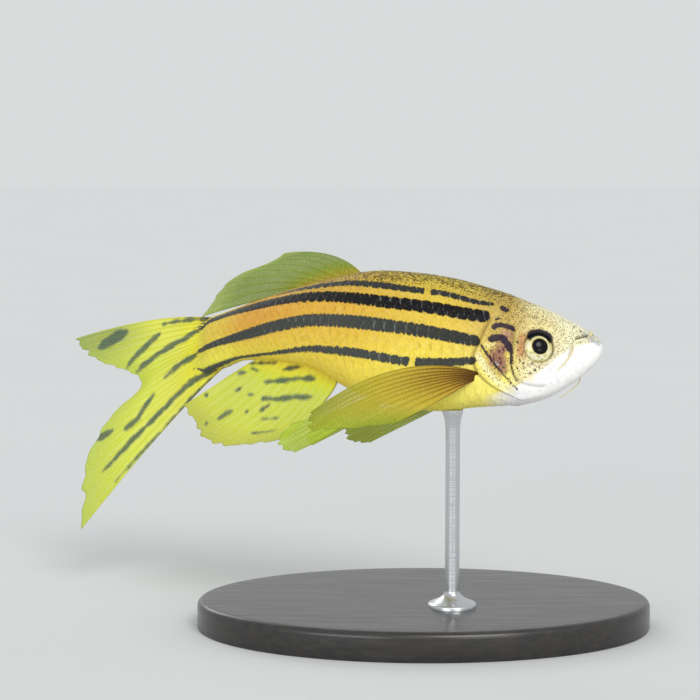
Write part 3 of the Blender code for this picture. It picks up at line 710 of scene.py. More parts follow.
# Patches of colour on the head: places on the skin, reach in millimetres, colour and strength
PATCH_CORE = 0.25
PATCHES = (
    (((0.228, 114.0), (0.212, 108.0)), 0.95, srgb(166, 112, 84), 0.85),
    (((0.215, 118.0), (0.210, 124.0)), 0.60, srgb(150, 100, 88), 0.70),
    (((0.216, 91.5), (0.206, 92.5)), 0.30, srgb(214, 172, 132), 0.80),
    (((0.205, 106.5), (0.205, 110.5)), 0.30, srgb(236, 220, 96), 0.90),
    (((0.246, 103.5), (0.232, 102.0)), 0.32, srgb(238, 226, 140), 0.85),
    (((0.259, 113.0), (0.240, 125.0), (0.212, 139.0), (0.185, 148.0)), 0.42, srgb(240, 232, 176), 0.80),
    (((0.175, 93.0), (0.177, 106.0)), 0.60, srgb(184, 118, 66), 0.75),
    (((0.170, 126.0), (0.150, 133.0)), 0.50, srgb(236, 226, 168), 0.50),
    (((0.176, 152.0), (0.190, 144.0)), 0.45, srgb(196, 200, 196), 0.35),
    (((0.044, 68.0), (0.028, 74.0), (0.012, 80.0)), 0.34, srgb(166, 174, 176), 0.75),
    (((0.2235, 118.2), (0.2232, 118.4)), 0.20, srgb(250, 250, 244), 1.0),
)


def scale_pattern(share, turn):
    """For each point, how far ahead it lies of the free edge of the scale over it, in millimetres."""
    along = share * LENGTH
    around = (turn % TURN) / TURN * SCALE_ROWS
    front = np.full(share.shape, FAR)
    ahead = np.zeros(share.shape)
    for shift in (-1, 0, 1, 2):
        row = np.floor(around) + shift
        off = around - row
        arc = SCALE_ARC * np.sqrt(np.clip(1 - off**2, 0, 1))
        phase = 0.5 * SCALE_PITCH * np.mod(row, 2)
        centre = np.ceil((along - arc - phase) / SCALE_PITCH) * SCALE_PITCH + phase
        nearer = (np.abs(off) < 1) & (centre < front)
        front = np.where(nearer, centre, front)
        ahead = np.where(nearer, centre + arc - along, ahead)
    return ahead


def folds(at, rows):
    return sum(height * bump(at - place, width) for place, width, height in rows)


def eye_relief(points):
    """How far the skin sinks or folds round the eyes, and the painted shade along the sockets' edges."""
    rise, crease_shade = 0, 0
    for right in (True, False):
        _, radius, near = round_eye(points, right)
        sunk = folds(radius, EYE_FOLDS) - SOCKET_DEPTH * ease(EYE_RADIUS, SOCKET_EDGE, radius)
        rise = rise + np.where(near, sunk, 0)
        crease_shade = np.maximum(crease_shade, np.where(near, SOCKET_SHADE * bump(radius - EYE_RADIUS, SOCKET_LINE), 0))
    return rise, crease_shade


def mouth_relief(back, upward):
    """The mouth's cut with its lips, and the painted shade in the cut."""
    gape = np.subtract(GAPE_CORNER, GAPE_FRONT)
    size = np.linalg.norm(gape)
    behind, over = back - GAPE_FRONT[0], upward - GAPE_FRONT[1]
    run = (behind * gape[0] + over * gape[1]) / size**2
    off = (over * gape[0] - behind * gape[1]) / size
    near = ease(*GAPE_ENDS, run)
    rise = ease(*LIPS_END, run) * folds(off, LIP_FOLDS) - GAPE_DEPTH * near * bump(off, GAPE_WIDTH)
    return rise, GAPE_SHADE * near * bump(off, GAPE_LINE)


def nostril_relief(points):
    """The nostrils' hollows with their rims, and the painted shade in the hollows."""
    rise, crease_shade = 0, 0
    for spot, radius in NOSTRILS:
        for hand in (1, -1):
            apart = from_spot(points, spot, hand)
            rim = RIM_HEIGHT * bump(apart - RIM_PLACE * radius, RIM_WIDTH)
            rise = rise - NOSTRIL_DEPTH * ease(radius, NOSTRIL_FLOOR * radius, apart) + rim
            crease_shade = np.maximum(crease_shade, NOSTRIL_SHADE * ease(radius, NOSTRIL_CORE * radius, apart))
    return rise, crease_shade


def cover_relief(share, turn):
    """The gill cover's step with the groove behind it, and the painted shade in the groove."""
    degrees = folded(turn)
    to_edge = (gill_share(turn) - share) * LENGTH
    over_side = ease(*COVER_FROM, degrees) * ease(*COVER_TO, degrees)
    cover = COVER_RISE * np.exp(-np.clip(to_edge, 0, None) / COVER_SLOPE) * ease(*COVER_STEP, to_edge)
    rise = over_side * (cover - COVER_GROOVE * bump(to_edge + GROOVE_PLACE, GROOVE_WIDTH))
    return rise, COVER_SHADE * over_side * bump(to_edge + COVER_LINE, COVER_LINE)


def groove_relief(points, right):
    """The gill cover's ridge with the grooves round it and on the cheek, and the painted shade in the
    grooves.
    """
    rise, crease_shade = RIDGE_HEIGHT * bump(both_sides(points, right, OPERCLE_RIDGE), RIDGE_WIDTH), 0
    for places, depth, width, shade in GROOVES:
        apart = both_sides(points, right, places)
        rise = rise - depth * bump(apart, width)
        crease_shade = np.maximum(crease_shade, shade * bump(apart, GROOVE_LINE * width))
    return rise, crease_shade


def head_relief(share, turn, points, right):
    """How far the head's skin stands out or sinks in, and the painted shade in its creases."""
    parts = (
        eye_relief(points),
        mouth_relief(share * LENGTH, section(share, turn)[1]),
        nostril_relief(points),
        cover_relief(share, turn),
        groove_relief(points, right),
    )
    return sum(rise for rise, _ in parts), np.maximum.reduce([crease_shade for _, crease_shade in parts])


def tint_of(share, turn):
    """The skin's ground colour, blended between the zones' tones."""
    degrees = folded(turn)
    shares = np.array([row[0] for row in TONES])
    table = np.array([row[1:] for row in TONES])
    i = np.clip(np.searchsorted(shares, share, side="right") - 1, 0, len(shares) - 2)
    u = ease(0, 1, (share - shares[i]) / (shares[i + 1] - shares[i]))[..., None]
    zones = table[i] * (1 - u[..., None]) + table[i + 1] * u[..., None]
    back, flank, below = TONE_TURNS
    down = ease(back, flank, degrees)[..., None]
    under = ease(flank, below, degrees)[..., None]
    upper = zones[..., 0, :] * (1 - down) + zones[..., 1, :] * down
    return upper * (1 - under) + zones[..., 2, :] * under


def stripe_field(share, turn, arcs):
    """How far each point lies inside the nearest dark stripe, in millimetres, and how faded it is."""
    degrees = folded(turn)
    inside = np.full(share.shape, -1.0)
    fade = np.zeros(share.shape)
    back = share * LENGTH
    for number, (line, widths) in enumerate(STRIPES):
        line, widths = np.array(line), np.array(widths)
        middle = smooth(line[:, 0], line[:, 1], share)
        half = np.interp(share, widths[:, 0], widths[:, 1])
        ahead = np.clip((line[0, 0] - share) * LENGTH + half, 0, None)
        depth = half - np.hypot((degrees - middle) * arcs, ahead)
        for broken, at, reach in BREAKS:
            if broken == number:
                depth = np.minimum(depth, np.abs(back - at * LENGTH) - reach)
        fade = np.where(depth > inside, np.interp(share, FADE_SHARES, FADES[number]), fade)
        inside = np.maximum(inside, depth)
    return inside, fade


def skin_grid():
    """The share of the axis and the angle round it of each of the skin's points, ring by ring."""
    head = HEAD_END * np.linspace(0, 1, HEAD_RINGS + 1)[1:] ** HEAD_CROWDING
    body = np.linspace(HEAD_END, 1.0, BODY_RINGS + 1)[1:]
    tail = 1.0 + TAIL_REACH * np.linspace(0, 1, TAIL_RINGS + 1)[1:]
    turns = np.linspace(0, TURN, RING, endpoint=False)
    return np.meshgrid(np.concatenate([head, body, tail]), turns, indexing="ij")


def skin_points(share, turn, rise):
    """The skin with its relief, brought to an edge where it ends in the tail fin."""
    across, upward, _ = section(share, turn)
    _, up, side = SPINE.frame(share)
    narrow = ease(*NARROWS, share - NARROW_BOW * np.abs(np.sin(turn)))
    inward = across * narrow * (1 - TAIL_EDGE / profile(share)[2])
    lower = upward * TAIL_TUCK * ease(*TUCKS, share)
    return skin(share, turn, rise) - side * inward[..., None] - up * lower[..., None]


def blotch_field(plain, right):
    """How far each point lies inside the nearest of the head's dark marks, in millimetres."""
    inside = np.full(right.shape, -1.0)
    for places, half in BLOTCHES:
        inside = np.maximum(inside, half - both_sides(plain, right, places))
    for spot in CHEEK_DOTS:
        for hand in (1, -1):
            inside = np.maximum(inside, DOT_RADIUS - from_spot(plain, spot, hand))
    for eye_right in (True, False):
        offset, radius, near = round_eye(plain, eye_right)
        thinned = LID_TAPER * ease(*LID_THINS, angle_from_back(offset, eye_place(eye_right)[1]))
        lid = LID_HALF - np.abs(radius - EYE_RADIUS) - thinned
        inside = np.maximum(inside, np.where(near, lid, -1))
    return inside


def speckles(share, degrees, on_head, marked):
    """How thick the speckles and the finer pepper are: on the head, the back and the flank."""
    head = HEAD_SPECKS + HEAD_MORE * ease(*HEAD_HIGH, degrees) * ease(*HEAD_BEHIND, share)
    body = BODY_SPECKS + ease(*BODY_HIGH, degrees) * ease(*BODY_AHEAD, share)
    speck = on_head * marked * head + (1 - on_head) * body * ease(*BODY_LOW, degrees)
    flank = (PEPPER + PEPPER_MORE * ease(*PEPPER_HIGH, degrees)) * ease(*PEPPER_LOW, degrees)
    return speck, on_head * marked * HEAD_PEPPER + (1 - on_head) * flank


def patched(tint, plain, right, whitened):
    """A ground colour with the jaw's white and the head's patches laid over it."""
    tint = tint + (np.array(JAW_WHITE) - tint) * whitened[..., None]
    for places, reach, shade, strength in PATCHES:
        over = strength * ease(reach, PATCH_CORE * reach, both_sides(plain, right, places))
        tint = tint + (np.array(shade) - tint) * over[..., None]
    return tint


def skin_object(points, fields):
    """The skin's mesh. Its two ends take the fields of the first and last points."""
    attributes = {}
    for name, values in fields.items():
        flat = values.reshape(points.size // 3, -1)
        attributes[name] = np.concatenate([flat, flat[:1], flat[-1:]]).squeeze()
    walls, fans = tube_faces(*points.shape[:2])
    wall_uvs, fan_uvs = tube_uvs(*points.shape[:2], FAN_MARGIN)
    # Each wall starts at its second corner, which sets the way it is split
    walls, wall_uvs = np.roll(walls, -1, 1), np.roll(wall_uvs, -1, 1)
    uvs = np.concatenate([wall_uvs.reshape(-1, 2), fan_uvs.reshape(-1, 2)])
    ends = SPINE.point(np.array([0.0, 1 + TAIL_REACH]))
    points = np.concatenate([points.reshape(-1, 3), ends])
    return mesh_object("danio_skin", points, walls, fans, uvs, attributes)


def make_skin(material):
    share, turn = skin_grid()
    right, degrees = turn < math.pi, folded(turn)
    plain = skin(share, turn)
    to_edge = (gill_share(turn) - share) * LENGTH
    scaled, ahead = ease(*SCALES_START, to_edge), scale_pattern(share, turn)
    # The head's relief, and the painted shade in its creases and hollows
    rise, crease_shade = head_relief(share, turn, plain, right)
    rise = rise + scaled * SCALE_RISE * (0.5 - ahead / SCALE_RUN)
    rise = rise + TAIL_SWELL * ease(*SWELLS, share) * ease(*SWELL_TURNS, degrees)
    points = skin_points(share, turn, rise * ease(*FLATTENS, share))
    marked = ease(*WHITE_BLUR, degrees - np.interp(share, *np.transpose(WHITE_EDGE)))
    whitened = (1 - marked) * ease(*WHITE_ENDS, share)
    speck, pepper = speckles(share, degrees, ease(*HEAD_STARTS, to_edge), marked)
    pink = ease(*BLUSH_REACH, both_sides(plain, right, GILL_BLUSH))
    pink = pink * ease(*BLUSH_STARTS, share) * ease(*BLUSH_EDGE, to_edge)
    arcs = np.linalg.norm(np.roll(plain, -1, 1) - plain, axis=-1) * RING / 360
    stripe, fade = stripe_field(share, turn, arcs)
    stripe = stripe - STRIPE_NOTCH * scaled * bump(ahead, NOTCH_WIDTH) * ease(*NOTCHES_END, share)
    fields = {
        "tint": patched(tint_of(share, turn), plain, right, whitened),
        "stripe": stripe,
        "fade": fade,
        "speck": speck,
        "pepper": pepper,
        "pale": whitened,
        "blotch": blotch_field(plain, right),
        "pink": pink,
        # Painted shade in the head's creases and hollows
        "crease_shade": crease_shade,
        "scale": np.where(scaled > SCALED, ahead, UNSCALED),
    }
    made = skin_object(points, fields)
    return finish_piece(made, ("head", "trunk", "tail_stalk"), material)


# Eyes


IRIS_TONES = srgb(240, 236, 200), srgb(212, 206, 132)
IRIS_TOP, IRIS_EDGE = srgb(196, 190, 120), srgb(96, 92, 66)
IRIS_RING, IRIS_DARK, IRIS_FLECK = srgb(214, 190, 110), srgb(22, 24, 28), srgb(88, 84, 54)
PUPIL = (0.002, 0.002, 0.003)
EYE_ROWS, EYE_COLUMNS = 72, 144
# How far the cornea stands out, and where it rises, as sines of the angle from the eye's axis
CORNEA, CORNEA_RISES = 0.05, (0.75, 0.2)


def eye_material():
    n = Nodes("danio_eye")
    place = n.place()
    radius, low = n.attribute("radius"), n.attribute("low")
    grain = n.noise(9.0, 3.0, 0.6, place)
    streaks = n.noise(3.0, 2.0, 0.5, place)
    iris = n.lay(*IRIS_TONES, streaks, 0.4, 0.62)
    iris = n.mix(n.between(low, 0.20, 0.60), n.mix(0.5, iris, IRIS_TOP), iris)
    iris = n.lay(iris, IRIS_EDGE, grain, 0.56, 0.74, 0.45)
    iris = n.mix(n.times(n.between(radius, 0.78, 0.70), 0.5), iris, IRIS_RING)
    shade = n.stirred(radius, grain, 0.10)
    iris = n.lay(iris, IRIS_EDGE, shade, 1.10, 1.24, 0.55)
    crescent = n.times(n.between(shade, 0.84, 0.92), n.between(low, 0.36, 0.20))
    iris = n.mix(crescent, iris, IRIS_DARK)
    flecks = n.times(n.between(grain, 0.56, 0.64), n.between(low, 0.45, 0.75))
    iris = n.mix(n.times(flecks, 0.55), iris, IRIS_FLECK)
    pupil = n.between(radius, 0.685, 0.650)
    return n.set(
        Base_Color=n.mix(pupil, iris, PUPIL),
        Roughness=0.22,
        Specular_IOR_Level=0.10,
        Coat_Weight=0.20,
        Coat_Roughness=0.04,
        Metallic=n.times(n.maths("SUBTRACT", 1.0, pupil), 0.15),
    )


def make_eye(right, material):
    """A flattened ball with a low cornea, from its outer pole to its inner one."""
    centre, frame = eye_place(right)
    polar = np.linspace(0, math.pi, EYE_ROWS)[1:-1]
    around = np.linspace(0, TURN, EYE_COLUMNS, endpoint=False)
    p, a = np.meshgrid(polar, around, indexing="ij")
    local = np.stack([np.sin(p) * np.cos(a), np.sin(p) * np.sin(a), np.cos(p)], -1)
    local = local * (EYE_RADIUS, EYE_RADIUS, EYE_HALF_DEPTH)
    outer = np.cos(p) > 0
    local[..., 2] += CORNEA * ease(*CORNEA_RISES, np.sin(p)) * outer
    radius = np.where(outer, np.hypot(local[..., 0], local[..., 1]), EYE_RADIUS)
    poles = centre + np.array([[0, 0, EYE_HALF_DEPTH + CORNEA], [0, 0, -EYE_HALF_DEPTH]]) @ frame
    attributes = {
        "radius": np.append(radius.ravel(), [0.0, EYE_RADIUS]),
        "low": np.append(angle_from_back(local, frame).ravel(), [0.5, 0.5]),
    }
    name = "eye_right" if right else "eye_left"
    made = tube_object("danio_" + name, centre + local @ frame, poles, attributes, -1)
    return finish_piece(made, (name,), material)


# Fins


class Fin:
    """A fin by its root line on the body and a few key rays, each bent through a middle point.

    The middles and tips are (back, out, side) in the frame of the fin's root: millimetres
    towards the tail, away from the body, and towards the fish's right.
    """

    def __init__(self, name, rays, root, frame, keys, ripple=0.25, waves=1.6):
        self.name, self.rays, self.root = name, rays, root
        self.origin, self.axes = frame
        self.shares, middles, tips = zip(*keys)
        self.middles, self.tips = np.array(middles, float), np.array(tips, float)
        self.ripple, self.waves = ripple, waves

    def surface(self, across, along):
        """The fin's middle surface: across from the first ray to the last, along from root to tip."""
        root = self.root(across)
        middle = self.origin + smooth(self.shares, self.middles, across) @ self.axes
        tip = self.origin + smooth(self.shares, self.tips, across) @ self.axes
        bend = 2 * middle - 0.5 * (root + tip)
        u = along[..., None]
        found = (1 - u) ** 2 * root + 2 * u * (1 - u) * bend + u**2 * tip
        phase = TURN * self.waves * across + WAVE_SLANT * along + WAVE_START
        wave = self.ripple * np.sin(phase) * np.clip(along, 0, None) ** 1.5
        return found + wave[..., None] * self.axes[2]


def root_on_skin(shares, degrees, lift):
    """A fin's root line: a stretch along the skin from its first ray to its last."""

    def root(across):
        share = shares[0] + (shares[1] - shares[0]) * across
        turn = np.radians(degrees[0] + (degrees[1] - degrees[0]) * across)
        return skin(share, turn, lift)

    return root


def skin_fin(word, base, turns, lift, outward, keys, socket=None, *, rays, **form):
    """A fin whose frame stands on the solid fin's root line, with its own root sunk in the skin."""
    back, up, side = SPINE.frame(np.mean(base))
    origin = root_on_skin(base, turns, lift)(np.array(0.5))
    root = root_on_skin(*(socket or (base, turns)), SUNK)
    return Fin("danio_" + word, rays, root, (origin, np.array([back, up * outward, side])), keys, **form)


UP, DOWN = 1, -1
# Roots: shares of the axis, and degrees from the back
DORSAL_BASE, ON_TOP = (0.545, 0.675), (0, 0)
ANAL_BASE, BELOW = (0.548, 0.785), (180, 180)
PECTORAL_BASE, PECTORAL_TURNS = (0.256, 0.262), (128, 148)
PELVIC_BASE, PELVIC_TURNS = (0.434, 0.464), (160, 172)
PECTORAL_SOCKET, PELVIC_SOCKET = (127.5, 135.5), (0.438, 0.458)
# How far the solid fins' root lines lie off the skin, and how deep these roots are sunk in it
DORSAL_LIFT, ANAL_LIFT, PAIRED_LIFT = 0.3, 0.36, 0.66
SUNK = -0.18
CAUDAL_RAYS, CAUDAL_HEIGHTS = 20, (2.2785, -2.3715)
CAUDAL_SUNK, CAUDAL_BOW = 0.9, 0.5
# The first small rays below run forward under the tail stalk
KEEL_FROM, KEEL_REACH, KEEL_DROP = 0.80, 1.9, 0.40
# Each lobe's share of the tail fin, the rest being the fork
LOBE = 0.47
# A fin's half thickness between its rays and what a ray adds, less where rays are crowded
WEB_HALF, RAY_RISE, RAY_WIDTH, CROWDED = 0.055, 0.055, 0.085, 0.25
# What the root adds, and the share of the half thickness that the tip loses, with their reach
ROOT_FLESH, FLESH_REACH, TIP_THINNING, THINS_FROM = 0.05, 0.10, 0.62, 0.2
# How uneven the edge is, with the rate and start of its waves, and the slant and start of the ripples
UNEVEN, EDGE_WAVES = 0.008, ((1.7, 0.4), (4.1, 1.3))
WAVE_SLANT, WAVE_START = 2.2, 0.6
# The strips of the texture square that a fin's two faces and its rim take
FRONT_STRIP, RIM_STRIP, BACK_STRIP = (0.0, 0.488), (0.494, 0.506), (0.512, 1.0)

# Key rays: share across the fin, then the middle and the tip in the fin's frame
DORSAL_KEYS = (
    (0.00, (0.7, 1.9, -0.1), (5.6, 2.2, -0.4)),
    (0.25, (3.3, 1.6, -0.2), (8.3, 1.2, -0.8)),
    (0.50, (5.7, 0.7, -0.5), (10.8, 0.3, -1.4)),
    (0.75, (7.5, -0.4, -0.8), (13.5, -0.9, -2.4)),
    (1.00, (8.3, -1.85, -1.25), (15.1, -2.75, -3.5)),
)
ANAL_KEYS = (
    (0.00, (-3.2, 3.3, 0.1), (-0.2, 6.1, 0.1)),
    (0.25, (-0.6, 3.3, 0.1), (3.8, 6.6, 0.1)),
    (0.50, (2.4, 3.0, 0.0), (7.7, 6.6, -0.1)),
    (0.75, (5.3, 2.1, -0.1), (10.4, 5.0, -0.4)),
    (1.00, (8.3, 0.5, -0.7), (12.6, 2.8, -0.9)),
)
PECTORAL_KEYS = (
    (
        (0.0, (6.2, 0.2, 2.2), (12.4, 4.7, 3.3)),
        (0.5, (6.1, 1.9, 2.0), (11.9, 6.1, 2.8)),
        (1.0, (3.2, 2.5, 1.3), (5.9, 4.5, 2.0)),
    ),
    (
        (0.0, (4.3, 0.5, -4.2), (8.6, 2.2, -8.0)),
        (0.5, (5.4, 0.0, -4.2), (10.7, 2.1, -7.8)),
        (1.0, (5.9, -0.3, -3.8), (11.1, 0.4, -7.0)),
    ),
)
PELVIC_KEYS = (
    (
        (0.0, (1.7, 2.4, 0.6), (5.0, 5.4, 1.4)),
        (0.5, (2.8, 1.6, 0.5), (6.8, 5.0, 1.2)),
        (1.0, (2.7, 1.2, 0.1), (6.3, 2.9, 0.6)),
    ),
    (
        (0.0, (2.5, 1.1, -1.6), (6.2, 3.0, -3.4)),
        (0.5, (2.9, 0.7, -1.5), (6.9, 2.5, -3.2)),
        (1.0, (2.7, 0.7, -1.0), (5.9, 1.2, -2.7)),
    ),
)
LOBE_KEYS = (
    (
        (0.0, (7.7, 4.2, 0.5), (15.9, 3.8, 3.2)),
        (0.3, (6.9, 2.8, 0.5), (14.6, 2.0, 3.2)),
        (0.6, (5.7, 1.1, 0.4), (11.8, 0.4, 1.8)),
        (1.0, (4.7, -0.4, 0.2), (8.6, -1.3, 0.8)),
    ),
    (
        (0.0, (4.75, 6.97, 0.4), (14.3, 14.8, 2.2)),
        (0.3, (5.7, 4.9, 0.4), (14.0, 9.9, 2.4)),
        (0.6, (5.5, 3.0, 0.3), (12.0, 5.2, 1.8)),
        (1.0, (5.0, 0.8, 0.2), (8.5, 2.0, 0.8)),
    ),
)

# The rays' colours at root and tip
MEDIAN_RAYS = srgb(206, 190, 48), srgb(200, 206, 66)
DORSAL_RAYS = srgb(150, 140, 32), srgb(142, 160, 50)
PAIRED_RAYS = srgb(74, 42, 8), srgb(142, 136, 44)
# Tints from root to tip: share of the ray and colour
OLIVE = ((0.0, (158, 130, 28)), (0.2, (112, 134, 26)), (0.75, (104, 138, 28)), (1.0, (160, 180, 84)))
LEMON = ((0.0, (222, 192, 44)), (0.25, (208, 220, 48)), (0.8, (210, 218, 50)), (1.0, (182, 184, 48)))
BRIGHT = ((0.0, (228, 206, 50)), (0.2, (238, 236, 56)), (0.7, (222, 232, 54)), (1.0, (176, 196, 54)))
GOLD = ((0.0, (140, 98, 16)), (0.2, (186, 144, 34)), (0.6, (192, 170, 38)), (1.0, (144, 168, 34)))
GREEN = ((0.0, (230, 212, 56)), (0.4, (190, 214, 54)), (1.0, (176, 206, 62)))
# The upper tail lobe's deeper green, its strength, and where it comes in across and along
SEA_GREEN, SEA_SHARE, SEA_ACROSS, SEA_ALONG = srgb(70, 108, 76), 0.72, (0.34, 0.04), (0.42, 0.85)

# Dark marks on the fins: places (across, along), and half width in millimetres
MARK_TAPER, MARK_STEPS = 0.5, 12
ANAL_MARKS = (
    (((0.26, 0.15), (0.45, 0.20), (0.70, 0.31)), 0.22),
    (((0.17, 0.38), (0.38, 0.41), (0.57, 0.48)), 0.22),
    (((0.69, 0.70), (0.71, 0.82)), 0.30),
    (((0.58, 0.64), (0.585, 0.65)), 0.20),
    (((0.74, 0.92), (0.745, 0.93)), 0.22),
    (((0.82, 0.47), (0.84, 0.53)), 0.20),
    (((0.96, 0.76), (0.97, 0.78)), 0.22),
    (((0.74, 0.06), (0.88, 0.10), (1.0, 0.16)), 0.16),
    (((0.30, 0.66), (0.42, 0.68)), 0.12),
    (((0.92, 0.30), (0.98, 0.36)), 0.14),
    (((0.20, 0.82), (0.36, 0.85)), 0.10),
    (((0.44, 0.05), (0.62, 0.12)), 0.14),
    (((0.48, 0.52), (0.50, 0.60)), 0.13),
    (((0.83, 0.22), (0.93, 0.22)), 0.13),
    (((0.68, 0.48), (0.72, 0.50)), 0.12),
)
CAUDAL_MARKS = (
    (((0.05, 0.0), (0.207, 0.145), (0.273, 0.285), (0.31, 0.505), (0.373, 0.735), (0.42, 0.95)), 0.30),
    (((0.60, 0.0), (0.60, 0.125), (0.593, 0.275), (0.61, 0.395), (0.627, 0.50)), 0.27),
    (((0.713, 0.59), (0.757, 0.635), (0.81, 0.665), (0.81, 0.75)), 0.36),
    (((0.965, 0.04), (0.923, 0.13), (0.883, 0.20), (0.88, 0.34), (0.893, 0.53), (0.907, 0.87)), 0.32),
    (((0.157, 0.475), (0.21, 0.585), (0.263, 0.735), (0.345, 0.93)), 0.36),
    (((0.07, 0.70), (0.10, 0.80), (0.13, 0.90)), 0.60),
    (((0.03, 0.0), (0.04, 0.20), (0.07, 0.42)), 0.20),
    (((0.995, 0.12), (0.995, 0.50), (0.985, 0.80)), 0.13),
    (((0.775, 0.88), (0.77, 0.98)), 0.34),
)
# Each fork of a ray: how far it parts the branches, in ray spacings, and the share where it starts
FORKS = ((0.25, 0.40), (0.12, 0.68))


def caudal_fin():
    """The whole tail fin, its rays from the top edge round the fork to the bottom edge."""
    axes = np.array(SPINE.frame(np.array(1.0)))
    base = SPINE.point(np.array(1.0))
    first, last = CAUDAL_HEIGHTS
    upper, lower = LOBE_KEYS
    keys = [(share * LOBE, middle, tip) for share, middle, tip in upper]
    for share, *places in lower[::-1]:
        keys.append((1 - share * LOBE, *(np.array(places) * (1, -1, 1))))

    def root(across):
        keel = ease(KEEL_FROM, 1.0, across)
        ahead = CAUDAL_SUNK + CAUDAL_BOW * (2 * across - 1) ** 2 + KEEL_REACH * keel
        height = first + (last - first) * across - KEEL_DROP * keel
        return base - axes[0] * ahead[..., None] + axes[1] * height[..., None]

    return Fin("danio_caudal_fin", CAUDAL_RAYS, root, (base, axes), keys, ripple=0.22, waves=2.3)


def branches(along):
    """The places of a ray's four branches, in ray spacings from its middle, as it forks twice."""
    first, second = [parting * ease(start, 1.0, along) for parting, start in FORKS]
    return [a * first + b * second for a in (-1, 1) for b in (-1, 1)]


def mark_field(fin, points, marks):
    """How far each point lies inside the nearest dark mark, in millimetres."""
    inside = np.full(points.shape[:-1], -1.0)
    for places, half in marks:
        line = straight(np.linspace(0, 1, len(places)), places, np.linspace(0, 1, MARK_STEPS))
        apart, run = line_distance(points, fin.surface(line[:, 0], line[:, 1]))
        inside = np.maximum(inside, half * (1 - MARK_TAPER * (2 * run - 1) ** 4) - apart)
    return inside


def sheet_object(name, front, back, fields):
    """A closed sheet from the grids of its two faces, joined by a wall round the rim."""
    columns, rows = front.shape[:2]
    size = columns * rows
    index = np.arange(size).reshape(columns, rows)
    rim = np.concatenate([index[:, 0], index[-1, 1:], index[-2::-1, -1], index[0, -2:0:-1]])
    then = np.roll(rim, -1)
    grid = grid_faces(columns, rows)
    walls = np.stack([then, rim, size + rim, size + then], -1)
    at = np.arange(len(rim)) / len(rim)
    ahead = at + 1 / len(rim)
    rim_u = np.broadcast_to(np.repeat(RIM_STRIP, 2), walls.shape)
    uvs = np.concatenate([
        grid_uvs(columns, rows, *FRONT_STRIP),
        grid_uvs(columns, rows, *BACK_STRIP)[:, ::-1],
        np.stack([rim_u, np.stack([ahead, at, at, ahead], -1)], -1),
    ])
    attributes = {key: np.concatenate([v.reshape(size, -1)] * 2).squeeze() for key, v in fields.items()}
    points = np.concatenate([front.reshape(-1, 3), back.reshape(-1, 3)])
    faces = np.concatenate([grid, size + grid[:, ::-1], walls])
    return mesh_object(name, points, faces, (), uvs.reshape(-1, 2), attributes)


def make_fin(fin, tint, material, marks=(), nodes=None, *, columns_per_ray, rows, width=RAY_WIDTH, notch):
    """A fin's sheet, thick along its branching rays, with its edge notched between them."""
    columns = (fin.rays - 1) * columns_per_ray + 1
    across, along = np.meshgrid(np.linspace(0, 1, columns), np.linspace(0, 1, rows), indexing="ij")
    spot = across * (fin.rays - 1)
    notched = notch * (0.5 - 0.5 * np.cos(TURN * spot))
    uneven = UNEVEN * sum(np.sin(rate * spot + start) for rate, start in EDGE_WAVES)
    middle = fin.surface(across, along * (1 - notched * along + uneven * along**3))
    over, run = np.gradient(middle, axis=0), np.gradient(middle, axis=1)
    spacing = np.linalg.norm(over, axis=-1) * columns_per_ray
    beside = spot - np.round(spot)
    ray = np.zeros(across.shape)
    for place in branches(along):
        ray = np.maximum(ray, bump((beside - place) * spacing, width * (1 - 0.5 * along)))
    half = WEB_HALF + RAY_RISE * ray * np.clip(spacing / CROWDED, 0.25, 1)
    half = half * (1 - TIP_THINNING * ease(THINS_FROM, 1.0, along))
    half = half + ROOT_FLESH * ease(FLESH_REACH, 0.0, along)
    out = unit(np.cross(over, run)) * half[..., None]
    fields = {
        "ray": ray,
        "reach": along,
        "run": np.cumsum(np.linalg.norm(run, axis=-1), axis=1),
        "mark": mark_field(fin, middle, marks),
        "tint": tint(across, along),
    }
    made = sheet_object(fin.name, middle + out, middle - out, fields)
    return finish_piece(made, nodes or (fin.name.removeprefix("danio_"),), material)


def blend_tint(stops):
    """A tint that runs from root to tip through the stops' colours."""
    shares, seen = zip(*stops)
    table = [srgb(*colour) for colour in seen]
    return lambda across, along: straight(shares, table, along)


def tail_tint(across, along):
    """The tail fin's tint: its upper lobe turns a deep sea green towards its tip."""
    ground = blend_tint(BRIGHT)(across, along)
    shade = SEA_SHARE * ease(*SEA_ACROSS, across) * ease(*SEA_ALONG, along)
    return ground + (np.array(SEA_GREEN) - ground) * shade[..., None]


